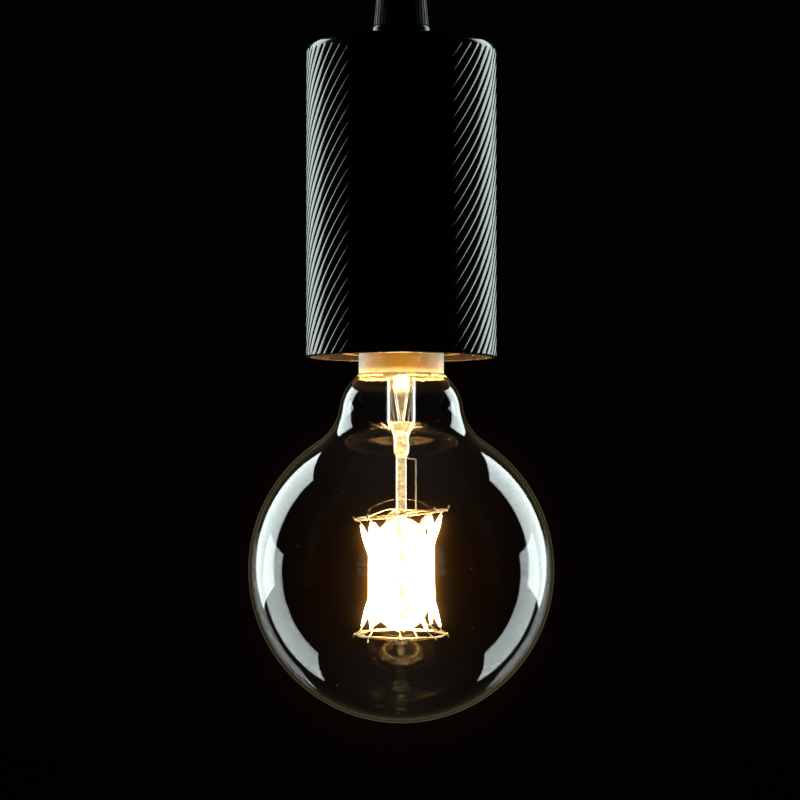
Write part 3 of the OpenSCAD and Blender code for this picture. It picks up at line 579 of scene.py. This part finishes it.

# Ivory collar, lit from below by the filaments, with painted light on it: a painted glow in its middle and at its
# foot, and painted highlights towards its sides
collar = {
    "color": (0.88, 0.78, 0.32),
    "edge": 0.5 * mm,
    "throatR": 11.2 * mm,
    "middlePaintedGlow": (0.06, 0.015, 0.0),
    "sidePaintedHighlight": (0.2, 0.52, 0.56),
    "footPaintedGlow": (0.9, 0.7, 0.3),
    "glowTop": 2.4 * mm,  # heights between which the painted glow at the foot fades out
    "glowFoot": 0.2 * mm,
}
ivory, ivoryTree, ivoryShader = newMaterial(
    "ivory", collar["color"], 0.4, Subsurface_Weight=0.7, Subsurface_Scale=0.0025,
    Subsurface_Radius=(1.0, 0.8, 0.45), Emission_Strength=1.0)
# painted light in the emission: highlights towards the outline from the facing weight, a glow in the middle and at the
# foot, made uneven by noise
facing = addNode(ivoryTree, "ShaderNodeLayerWeight")
setInputs(facing, Blend=0.35)
sideHighlightMix = addNode(ivoryTree, "ShaderNodeMix", data_type="RGBA")
setInputs(sideHighlightMix, A=(*collar["middlePaintedGlow"], 1), B=(*collar["sidePaintedHighlight"], 1))
ivoryCoord = addNode(ivoryTree, "ShaderNodeTexCoord")
collarGlowPatches = addNode(ivoryTree, "ShaderNodeTexNoise")
setInputs(collarGlowPatches, Scale=110)
ivorySplit = addNode(ivoryTree, "ShaderNodeSeparateXYZ")
footGlowRamp = addNode(ivoryTree, "ShaderNodeMapRange", interpolation_type="SMOOTHSTEP")
setInputs(footGlowRamp, From_Min=footZ + collar["glowTop"], From_Max=footZ + collar["glowFoot"])
footGlowMix = addNode(ivoryTree, "ShaderNodeMix", data_type="RGBA")
setInputs(footGlowMix, B=(*collar["footPaintedGlow"], 1))
collarGlowUneven = addNode(ivoryTree, "ShaderNodeMix", data_type="RGBA", blend_type="MULTIPLY")
setInputs(collarGlowUneven, Factor=0.3)
linkAll(
    ivoryTree,
    (facing.outputs["Facing"], sideHighlightMix.inputs["Factor"]), (ivoryCoord.outputs["Object"], ivorySplit.inputs["Vector"]),
    (ivoryCoord.outputs["Object"], collarGlowPatches.inputs["Vector"]), (ivorySplit.outputs["Z"], footGlowRamp.inputs["Value"]),
    (footGlowRamp.outputs["Result"], footGlowMix.inputs["Factor"]), (sideHighlightMix.outputs["Result"], footGlowMix.inputs["A"]),
    (footGlowMix.outputs["Result"], collarGlowUneven.inputs["A"]), (collarGlowPatches.outputs["Fac"], collarGlowUneven.inputs["B"]),
    (collarGlowUneven.outputs["Result"], ivoryShader.inputs["Emission Color"]))
collarR = (collarHigh.x - collarLow.x) / 2
throatR = collar["throatR"]
bm = lathe(roundedBox((throatR, footZ), (collarR, collarHigh.z), collar["edge"]), 128)
for f in bm.faces:
    boreSkin = f.calc_center_median().xy.length < throatR + 0.3 * mm
    f.material_index = 1 if boreSkin or f.normal.z < -0.7 else 0  # dark cement covers its foot and bore
finishPiece("ivoryCollar", bm, [ivory, capCement], "bulb", ["cap_collar"], angle=40)
print("collar done")

# Glass globe: neck, hollow and globe are arcs that touch, with a wall of true thickness
glass = {
    "globeR": 47.5 * mm,
    "neckR": 19.3 * mm,
    "neckDrop": 12.3 * mm,
    "neckArc": 15.4 * mm,
    "hollow": 15.0 * mm,
    "wall": 0.8 * mm,
    "throatHeight": 13.0 * mm,
    "throatEdge": 0.3 * mm,
    "lap": 0.3 * mm,  # from the collar's foot to the start of the neck
    "bend": 0.6 * mm,  # inner bend from the throat to the neck
    "steps": 192,
    "edgePaintedGlow": (0.26, 0.225, 0.12),
    "edgePower": 11,  # more draws the painted glow closer to the outline
    "dustPaintedGlint": (0.3, 0.22, 0.1),
    "dustScale": 260,
    "dustSize": 0.045,  # as a share of the space between specks
}


def meetPoint(a, ra, b, rb):
    # the point at ra from a and rb from b, on the outer side
    way = (b - a).normalized()
    d = (b - a).length
    s = (ra * ra - rb * rb + d * d) / (2 * d)
    return a + way * s + math.sqrt(ra * ra - s * s) * Vector((-way.y, way.x))


neckC = Vector((glass["neckR"] - glass["neckArc"], footZ - glass["neckDrop"]))
globeC = Vector((0, globeLow.z + glass["globeR"]))
hollowC = meetPoint(neckC, glass["neckArc"] + glass["hollow"], globeC, glass["globeR"] + glass["hollow"])
neckA = math.degrees(math.atan2(hollowC.y - neckC.y, hollowC.x - neckC.x))
globeA = math.degrees(math.atan2(hollowC.y - globeC.y, hollowC.x - globeC.x))
neckStart = math.degrees(math.asin((glass["neckDrop"] - glass["lap"]) / glass["neckArc"]))


def glassOutline(grow):
    # from the neck down to the bottom, with its last point on the axis
    outline = (arc(neckC, glass["neckArc"] + grow, neckStart, neckA, 14)
               + arc(hollowC, glass["hollow"] - grow, neckA + 180, globeA + 180, 18)[1:]
               + arc(globeC, glass["globeR"] + grow, globeA, -90, 72)[1:])
    return outline[:-1] + [(0, outline[-1][1])]


throatBore = throatR - glass["wall"]
throatTop = footZ + glass["throatHeight"]
glassPoints = ([(throatBore, throatTop), ((throatBore + throatR) / 2, throatTop + glass["throatEdge"]),
                (throatR, throatTop), (throatR, footZ - 0.05 * mm)] + glassOutline(0)
               + glassOutline(-glass["wall"])[::-1] + [(throatBore, footZ - glass["bend"])])
clearGlass = glassMaterial("clearGlass", (1.0, 1.0, 1.0), 0.0, 26, 0.012, glowStrength=1.0)
glassTree = clearGlass.node_tree
glassShader = glassTree.nodes["Principled BSDF"]
glassCoord = addNode(glassTree, "ShaderNodeTexCoord")
# painted glow in the globe's emission near its outline, as if light were piped along the glass wall
edgeWeight = addNode(glassTree, "ShaderNodeLayerWeight")
edgePower = addNode(glassTree, "ShaderNodeMath", operation="POWER")
edgePower.inputs[1].default_value = glass["edgePower"]
edgePatch = addNode(glassTree, "ShaderNodeTexNoise")
setInputs(edgePatch, Scale=22)
edgeLevel = addNode(glassTree, "ShaderNodeMath", operation="MULTIPLY")
edgeTint = addNode(glassTree, "ShaderNodeMix", data_type="RGBA")
setInputs(edgeTint, A=(0, 0, 0, 1), B=(*glass["edgePaintedGlow"], 1))
# sparse dust specks on the glass, each with a painted glint in the emission
dust = addNode(glassTree, "ShaderNodeTexVoronoi")
setInputs(dust, Scale=glass["dustScale"])
dustPick = addNode(glassTree, "ShaderNodeSeparateColor")
dustLimit = addNode(glassTree, "ShaderNodeMath", operation="MULTIPLY_ADD")  # most cells stay without a speck
dustLimit.inputs[1].default_value = glass["dustSize"] * 2.5
dustLimit.inputs[2].default_value = -glass["dustSize"] * 1.5
dustSpot = addNode(glassTree, "ShaderNodeMath", operation="LESS_THAN")
dustGlintMix = addNode(glassTree, "ShaderNodeMix", data_type="RGBA")
setInputs(dustGlintMix, B=(*glass["dustPaintedGlint"], 1))
linkAll(
    glassTree,
    (edgeWeight.outputs["Facing"], edgePower.inputs[0]), (glassCoord.outputs["Object"], edgePatch.inputs["Vector"]),
    (edgePower.outputs["Value"], edgeLevel.inputs[0]), (edgePatch.outputs["Fac"], edgeLevel.inputs[1]),
    (edgeLevel.outputs["Value"], edgeTint.inputs["Factor"]), (glassCoord.outputs["Object"], dust.inputs["Vector"]),
    (dust.outputs["Distance"], dustSpot.inputs[0]), (dust.outputs["Color"], dustPick.inputs["Color"]),
    (dustPick.outputs["Red"], dustLimit.inputs[0]), (dustLimit.outputs["Value"], dustSpot.inputs[1]),
    (dustSpot.outputs["Value"], dustGlintMix.inputs["Factor"]), (edgeTint.outputs["Result"], dustGlintMix.inputs["A"]),
    (dustGlintMix.outputs["Result"], glassShader.inputs["Emission Color"]))
globe = finishPiece("clearGlobe", lathe(glassPoints, glass["steps"]), [clearGlass], "bulb",
                    ["glass_globe"], angle=60)
globe.visible_shadow = False
print("globe done")

# Cement that has run out under the collar: a thin ragged skin over its lower edge and onto the glass, with a painted
# glow
cement = {
    "climb": 0.28 * mm,  # up the collar
    "run": 0.6 * mm,  # down the glass
    "inset": 0.5 * mm,  # hidden inside the collar
    "sink": 0.2 * mm,  # and in the glass
    "ragged": 0.75,
    "color": (0.9, 0.78, 0.42),
    "glow": (1.0, 0.8, 0.38),
    "glowStrength": 0.45,
}
cementYellow = grainMaterial("cementYellow", cement["color"], (0.8, 0.6, 0.24), 0.5, scale=700, bump=0.15,
                             Emission_Strength=cement["glowStrength"])
# the cement's emission is a painted glow, as if lit through from inside
paintedGlowNoise(cementYellow.node_tree, cementYellow.node_tree.nodes["Principled BSDF"], cement["glow"], 500, 0.3, 1.0)


def neckRadius(z, off):
    return neckC.x + math.sqrt((glass["neckArc"] + off) ** 2 - (z - neckC.y) ** 2)


cementFoot = footZ - cement["run"]
cementBore = collarR - cement["inset"]
cementPoints = [(cementBore, footZ + cement["climb"]), (cementBore, footZ - cement["sink"]),
                (neckRadius(cementFoot, -cement["sink"]), cementFoot), (neckRadius(cementFoot, 0.03 * mm), cementFoot),
                (neckRadius(footZ - 0.3 * mm, 0.1 * mm), footZ - 0.3 * mm),
                (collarR + 0.02 * mm, footZ), (collarR + 0.02 * mm, footZ + cement["climb"])]
bm = lathe(cementPoints, 220)
for v in bm.verts:
    rise = v.co.z - footZ
    if rise > -0.1 * mm:
        continue
    angle = math.atan2(v.co.y, v.co.x)
    way = Vector((math.cos(angle), math.sin(angle), 0.0))
    waves = noise.noise(way * 2.3) + 0.6 * noise.noise(way * 9)  # slow and quick
    z = footZ + rise * max(0.3, 1 + cement["ragged"] * 1.6 * waves)
    v.co = way * (v.co.xy.length + neckRadius(z, 0) - neckRadius(v.co.z, 0)) + turnAxis * z
finishPiece("cementBead", bm, [cementYellow], "bulb", ["cement_bead"], angle=60)
print("cement done")

# Stem: flare, exhaust tube, press and rod
stem = {
    "tubeR": 4.75 * mm,
    "wall": 0.9 * mm,
    "flareHeight": 8 * mm,
    "rodR": 1.65 * mm,
    "beadR": 2.5 * mm,
    "beadNeck": 2.6 * mm,  # above the bead's middle
}


def flareCurve(wall, angles):
    # a quarter of an ellipse from the rim down to the tube, wall further in
    width = throatBore - stem["tubeR"] + wall
    return [(throatBore - width * math.sin(math.radians(a)),
             flareHigh.z - (stem["flareHeight"] - wall) * (1 - math.cos(math.radians(a)))) for a in angles]


flarePoints = (flareCurve(0, range(0, 91, 6))
               + [(stem["tubeR"], flareLow.z), (stem["tubeR"] - stem["wall"], flareLow.z)]
               + flareCurve(stem["wall"], range(90, 5, -6)))
flarePiece = finishPiece("flareTube", lathe(flarePoints), [stemGlass], "bulb", ["flare_tube"], angle=50)

# Exhaust tube: drawn to a fine hole at its foot, melted shut at its top
exhaust = {
    "neck": 10.2 * mm,
    "wall": 0.8 * mm,
    "topWall": 1.0 * mm,
    "footR": 1.0 * mm,
    "footBore": 0.3 * mm,
    "footHeight": 0.6 * mm,
}
exhaustR = (exhaustHigh.x - exhaustLow.x) / 2
exhaustBore = exhaustR - exhaust["wall"]
exhaustNeck = exhaustLow.z + exhaust["neck"]
exhaustPoints = [(0, exhaustHigh.z), (exhaustR * 0.6, exhaustHigh.z - 0.4 * mm), (exhaustR, exhaustHigh.z - 1.6 * mm),
                 (exhaustR, exhaustNeck), (exhaust["footR"], exhaustLow.z + exhaust["footHeight"]),
                 (exhaust["footR"], exhaustLow.z), (exhaust["footBore"], exhaustLow.z),
                 (exhaust["footBore"], exhaustLow.z + 0.8 * mm), (exhaustBore, exhaustNeck + 0.4 * mm),
                 (exhaustBore, exhaustHigh.z - 1.8 * mm), (0, exhaustHigh.z - exhaust["topWall"])]
exhaustPiece = finishPiece("exhaustTube", lathe(exhaustPoints, 64, closed=False), [exhaustGlass], "bulb",
                           ["exhaust_tube"], angle=40)

# Press: an oval column that is drawn in, with the dents of the pincers
press = {
    "rows": 40,
    "around": 64,
    "waistWide": 2.4 * mm,  # half width
    "waistDeep": 2.0 * mm,
    "waistStart": 0.5,  # shares of the height, from the top
    "waistEnd": 0.84,
    "dent": 0.22 * mm,
}
pressWide = (pressHigh.x - pressLow.x) / 2
pressDeep = (pressHigh.y - pressLow.y) / 2


def pressShape(t):
    # half width and half depth, t from 0 at the top to 1 at the rod
    wide, deep = press["waistWide"], press["waistDeep"]
    if t < press["waistStart"]:
        s = t / press["waistStart"]
        s = s * s * (3 - 2 * s)
        return pressWide + (wide - pressWide) * s, pressDeep + (deep - pressDeep) * s
    s = max(0.0, (t - press["waistEnd"]) / (1 - press["waistEnd"]))
    return wide + (stem["rodR"] - wide) * s, deep + (stem["rodR"] - deep) * s


bm = bmesh.new()
verts = bmesh.ops.create_circle(bm, segments=press["around"], radius=1, cap_ends=False)["verts"]
edges = first = list(bm.edges)
lastWide = lastDeep = 1
for i in range(press["rows"] + 1):
    t = i / press["rows"]
    z = pressHigh.z + (pressLow.z - pressHigh.z) * t
    if i:
        verts, edges = extrudeRing(bm, edges)
    wide, deep = pressShape(t)
    for v in verts:
        angle = math.atan2(v.co.y / lastDeep, v.co.x / lastWide)
        lump = noise.noise(Vector((math.cos(angle) * 1.7, math.sin(angle) * 1.7, t * 6.0)))
        fade = math.sin(math.pi * min(1, t * 1.02)) ** 0.5 if 0 < t < 1 else 0
        grow = press["dent"] * lump * fade
        v.co = Vector(((wide + grow) * math.cos(angle), (deep + grow) * math.sin(angle), z))
    lastWide, lastDeep = wide, deep
bmesh.ops.edgeloop_fill(bm, edges=first)
bmesh.ops.edgeloop_fill(bm, edges=edges)
bmesh.ops.recalc_face_normals(bm, faces=bm.faces)
pressPiece = finishPiece("stemPress", bm, [pressGlass], "bulb", ["stem_press"], angle=60)

beadZ = rodLow.z + stem["beadR"]
rodPoints = ([(0, rodHigh.z), (stem["rodR"], rodHigh.z), (stem["rodR"], beadZ + stem["beadNeck"])]
             + arc((0, beadZ), stem["beadR"], 48, -90, 14))
rodPoints[-1] = (0, rodPoints[-1][1])
rodPiece = finishPiece("glassRod", lathe(rodPoints, 64, closed=False), [rodGlass], "bulb", ["glass_rod"],
                       angle=60)
for piece in (flarePiece, exhaustPiece, pressPiece, rodPiece):
    piece.visible_shadow = False
print("stem done")

# Filament cage
cage = {
    "ringR": 14.2 * mm,
    "corners": 8,
    "twist": 2,  # corners from a filament's top to its foot
    "inset": 1.2 * mm,  # of the filament ends inside the rings
    "upperTilt": 1.45 * mm,  # rise of the upper ring towards the right
    "lowerTilt": 1.0 * mm,  # rise of the lower ring towards the back
    "crooked": 0.35 * mm,  # how far a corner may stray
    "filamentR": 1.05 * mm,
    "endR": 0.4 * mm,
    "taper": 4.8 * mm,
    "topTab": 1.7 * mm,  # bare strip between a ring and the lit part
    "footTab": 2.6 * mm,
    "stripR": 0.24 * mm,
    "tail": (0.9 * mm, 1.6 * mm),  # shortest strip end outside a ring, and how much longer it may be
    "phosphor": (1.0, 0.7, 0.25),
    "light": (1.0, 0.66, 0.32),  # colour that the filaments shine in
    "glow": 45.0,
}


def corner(i, level, inset=0.0):
    # a corner of the upper ring (level 0) or the lower ring (level 1), each a little crooked
    i %= cage["corners"]
    a = 2 * math.pi * i / cage["corners"]
    out = Vector((math.cos(a), math.sin(a), 0.0))
    seat = out * 3.1 + turnAxis * (5.3 + 7 * level)  # where the noise is read
    r = cage["ringR"] - inset + cage["crooked"] * noise.noise(seat)
    z = upperZ + cage["upperTilt"] * out.x if level == 0 else lowerZ + cage["lowerTilt"] * out.y
    return out * r + turnAxis * (z + cage["crooked"] * noise.noise(seat * 1.7))


litPhosphor = newMaterial("litPhosphor", cage["phosphor"], 0.5, Emission_Color=(*cage["light"], 1),
                          Emission_Strength=cage["glow"])[0]


def filamentPiece(i):
    # a tapered stick with a metal strip at each end that crosses its ring
    low = i + cage["twist"]
    a, b = corner(i, 0, cage["inset"]), corner(low, 1, cage["inset"])
    way = (b - a).normalized()
    start, end = cage["topTab"], (b - a).length - cage["footTab"]
    r, thin, run = cage["filamentR"], cage["endR"], cage["taper"]
    half = [(0, 0), (thin * 0.7, 0.06 * mm), (thin, 0.3 * mm), (thin * 1.35, run * 0.3), (r * 0.66, run * 0.6),
            (r * 0.84, run * 0.9), (r * 0.95, run * 1.2), (r, run * 1.6)]
    bm = lathe([(x, start + z * 0.7) for x, z in half] + [(x, end - z) for x, z in half[::-1]], 24, closed=False)
    aimed = Matrix.Translation(a) @ way.to_track_quat("Z", "Y").to_matrix().to_4x4()
    bmesh.ops.transform(bm, matrix=aimed, verts=bm.verts)
    lit = set(bm.faces)
    shortest, spare = cage["tail"]
    for seat, inner, aim, tab in ((corner(i, 0), a, way, cage["topTab"]), (corner(low, 1), b, -way, cage["footTab"])):
        tail = (seat - inner) * 0.35 - aim * (shortest + spare * abs(noise.noise(seat * 900)))
        route = [seat + tail, seat, inner + aim * tab * 0.5, inner + aim * (tab + 0.5 * mm)]
        sweepWire(bm, smoothRoute(route, 5), cage["stripR"])
    bmesh.ops.recalc_face_normals(bm, faces=bm.faces)
    for f in bm.faces:
        f.material_index = 0 if f in lit else 1
    finishPiece("litFilament_%d" % (i + 1), bm, [litPhosphor, cageMetal], "bulb",
                ["filament_%d" % (i + 1)], angle=40)


for i in range(cage["corners"]):
    filamentPiece(i)

# Rings and their supports
upperRing = {
    "level": 0,
    "lift": 0.5 * mm,  # of its two wires, up and down
    "bow": 0.15 * mm,
    "overrun": 0.7 * mm,  # past the corners
    "wireR": 0.26 * mm,
}
lowerRing = {
    "level": 1,
    "lift": 0.3 * mm,
    "bow": 0.7 * mm,
    "overrun": 0.6 * mm,
    "wireR": 0.25 * mm,
}
supportR = 0.2 * mm


def ringRoutes(ring):
    # each side of a ring is two bowed wires that run past the corners
    routes = []
    for i in range(cage["corners"]):
        a, b = corner(i, ring["level"]), corner(i + 1, ring["level"])
        way = (b - a).normalized()
        out = Vector(((a + b).x, (a + b).y, 0)).normalized()
        for side in (-1, 1):
            wander = noise.noise(Vector((i * 1.9, ring["level"] * 4.1, side * 2.3)))
            shift = turnAxis * side * ring["lift"] * (0.8 + wander) + out * side * 0.25 * mm
            past = way * ring["overrun"] * (1 + 1.5 * wander)
            droop = turnAxis * max(0, wander) * 1.2 * mm
            routes.append(smoothRoute([a - past + shift * 0.5 - droop, a + shift * 0.4,
                                       (a + b) / 2 + out * ring["bow"] * (1 + wander) + shift, b + shift * 0.4,
                                       b + past + shift * 0.5], 4))
    return routes


def axisPoint(out, r, z):
    return out * r + turnAxis * z


wirePiece("upperRing", ringRoutes(upperRing), upperRing["wireR"], cageMetal, "upper_ring")
wirePiece("lowerRing", ringRoutes(lowerRing), lowerRing["wireR"], cageMetal, "lower_ring")
supports = []
for i in range(0, cage["corners"], 2):
    a = 2 * math.pi * (i + 0.5) / cage["corners"]
    out = Vector((math.cos(a), math.sin(a), 0))
    topEdge = (corner(i, 0) + corner(i + 1, 0)) / 2
    lowEdge = (corner(i, 1) + corner(i + 1, 1)) / 2
    supports.append(smoothRoute([axisPoint(out, 2.2 * mm, beadZ), axisPoint(out, 6 * mm, beadZ - 2 * mm), lowEdge], 6))
    supports.append(smoothRoute([axisPoint(out, 1.5 * mm, upperZ + 1.5 * mm),
                                 axisPoint(out, 5 * mm, upperZ + 1.6 * mm), topEdge], 6))
wirePiece("ringSupports", supports, supportR, cageMetal, "ring_supports")
print("cage done")

# Lead wires: two from the cap into the press, one out to each ring
lead = {
    "capR": 0.3 * mm,
    "ringR": 0.26 * mm,
    "gap": 0.15 * mm,  # beside the exhaust tube
    "sideX": 4.6 * mm,  # where the upper lead comes down
    "backX": -0.6 * mm,  # where the lower lead runs behind the rod
    "backGap": 0.42 * mm,
}
leadX = exhaustR + lead["capR"] + lead["gap"]
wirePiece("leadWires", [smoothRoute([(s * leadX, 0, flareHigh.z + 2 * mm), (s * leadX, 0, exhaustNeck),
                                     (s * 2.2 * mm, 0, pressHigh.z + 1 * mm),
                                     (s * 1.2 * mm, 0, pressHigh.z - 3 * mm)], 8) for s in (-1, 1)],
          lead["capR"], leadMetal, "lead_wires")
sideX = lead["sideX"]
ringShare = (corner(1, 0).x - sideX) / (corner(1, 0).x - corner(2, 0).x)
ringSeat = corner(1, 0).lerp(corner(2, 0), ringShare)
leadTop = rodHigh.z - 0.3 * mm
wirePiece("upperLead", [smoothRoute([(1.4 * mm, 0.3 * mm, leadTop + 0.6 * mm), (2.4 * mm, 3 * mm, leadTop),
                                     (sideX - 0.3 * mm, ringSeat.y - 1.2 * mm, leadTop),
                                     (sideX, ringSeat.y, leadTop - 0.9 * mm),
                                     (sideX, ringSeat.y, (leadTop + upperZ) / 2), ringSeat], 8)],
          lead["ringR"], leadMetal, "upper_lead")
backX = lead["backX"]
backY = stem["rodR"] + lead["backGap"]
wirePiece("lowerLead", [smoothRoute([(backX, 1 * mm, rodHigh.z + 3 * mm), (backX, backY, rodHigh.z + 0.4 * mm),
                                     (backX, backY, (rodHigh.z + beadZ) / 2), (backX, backY + 0.3 * mm, beadZ),
                                     (backX + 0.1 * mm, backY + 2 * mm, beadZ - 3.2 * mm), corner(2, 1)], 8)],
          lead["ringR"], leadMetal, "lower_lead")
print("lead wires done")

# Finishes of the CAD pieces that show as they are
nodeFinish = {
    "grip_bush": bushRubber, "threaded_tube": brass, "fixing_washer": zincSteel, "earth_tag": zincSteel,
    "earth_screw": brass, "fixing_nut": brass, "dome_locknut": brass, "socket_dome": bakelite,
    "socket_skirt": skirtBeige, "terminal_block": porcelain, "centre_contact": springBrass,
    "sleeve_contact": springBrass, "wire_clamps": brass, "terminal_screws": zincSteel, "tip_contact": solder,
    "cap_insulator": blackGlass, "driver_board": boardGreen, "driver_capacitor": capacitorSleeve,
    "bridge_rectifier": chipBlack, "driver_chip": chipBlack, "fuse_resistor": resistorBlue, "cap_wires": wireRed,
}
for name, mat in nodeFinish.items():
    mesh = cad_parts[name].data
    mesh.materials.clear()
    mesh.materials.append(mat)
print("finishes assigned")

# Floor, world and lights
studio = {
    "floorZ": -3.0,  # far below, so that the part hangs in the dark
    "floorSize": 40,
    "world": (0.0006, 0.0005, 0.0004),
    "boxPower": 10.0,
    "boxAngle": 127,  # degrees round from the camera
    "boxRoll": -10,  # degrees that the boxes lean
    "boxDistance": 1.3,
    "boxHeight": 0.17,  # height of its middle
    "boxAim": (0, 0, -0.19),
    "boxSize": (0.72, 1.3),
    "boxColor": (0.87, 1.0, 0.98),
    "bulbPower": 0.9,  # three lamps inside the cage share it
    "bulbColor": (1.0, 0.62, 0.28),
    "bulbRadius": 8.5 * mm,
    "bulbSpread": 9 * mm,
}
bm = bmesh.new()
bmesh.ops.create_grid(bm, x_segments=2, y_segments=2, size=studio["floorSize"])
bmesh.ops.translate(bm, vec=(0, 0, studio["floorZ"]), verts=bm.verts)
floorMesh = bpy.data.meshes.new("floor")
bm.to_mesh(floorMesh)
bm.free()
floorMesh.materials.append(grainMaterial("paleFloor", (0.74, 0.74, 0.73), (0.7, 0.7, 0.69), 0.7, scale=60, bump=0.05))
floor = bpy.data.objects.new("floor", floorMesh)
scene.collection.objects.link(floor)
floor.visible_glossy = False  # keeps the lit floor out of the glass
world = bpy.data.worlds.new("studio")
scene.world = world
world.use_nodes = True
setInputs(world.node_tree.nodes["Background"], Color=(*studio["world"], 1))


def addLight(name, kind, place, power, color):
    data = bpy.data.lights.new(name, kind)
    data.energy = power
    data.color = color
    lamp = bpy.data.objects.new(name, data)
    lamp.location = place
    scene.collection.objects.link(lamp)
    return lamp


boxTurn = math.radians(studio["boxAngle"])
for side in (-1, 1):
    place = Vector((side * studio["boxDistance"] * math.sin(boxTurn), -studio["boxDistance"] * math.cos(boxTurn),
                    studio["boxHeight"]))
    box = addLight("softbox", "AREA", place, studio["boxPower"], studio["boxColor"])
    box.data.shape = "RECTANGLE"
    box.data.size, box.data.size_y = studio["boxSize"]
    aimed = (Vector(studio["boxAim"]) - place).to_track_quat("-Z", "Y")
    box.rotation_euler = (aimed @ Quaternion(turnAxis, math.radians(side * studio["boxRoll"]))).to_euler()
for lift in (-1, 0, 1):
    place = (0, 0, (upperZ + lowerZ) / 2 + lift * studio["bulbSpread"])
    glowLamp = addLight("filamentLight", "POINT", place, studio["bulbPower"] / 3, studio["bulbColor"])
    glowLamp.data.shadow_soft_size = studio["bulbRadius"]
    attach(glowLamp, "bulb")

# Picture finish: plain contrast, and the bloom of the lit filaments
blooms = [
    {"Threshold": 6.0, "Smoothness": 0.3, "Maximum": 16.0, "Strength": 0.07, "Size": 0.02,
     "Tint": (1.0, 0.75, 0.35, 1)},
    {"Threshold": 6.0, "Smoothness": 0.3, "Maximum": 40.0, "Strength": 0.013, "Size": 0.5,
     "Tint": (1.0, 0.65, 0.34, 1)},
]
scene.view_settings.view_transform = "Standard"
scene.use_nodes = True
picture = scene.node_tree
picture.nodes.clear()
last = addNode(picture, "CompositorNodeRLayers").outputs["Image"]
for bloom in blooms:
    glare = addNode(picture, "CompositorNodeGlare", glare_type="BLOOM", quality="HIGH")
    setInputs(glare, Clamp=True, **bloom)
    linkAll(picture, (last, glare.inputs["Image"]))
    last = glare.outputs["Image"]
linkAll(picture, (last, addNode(picture, "CompositorNodeComposite").inputs["Image"]))
print("studio done")
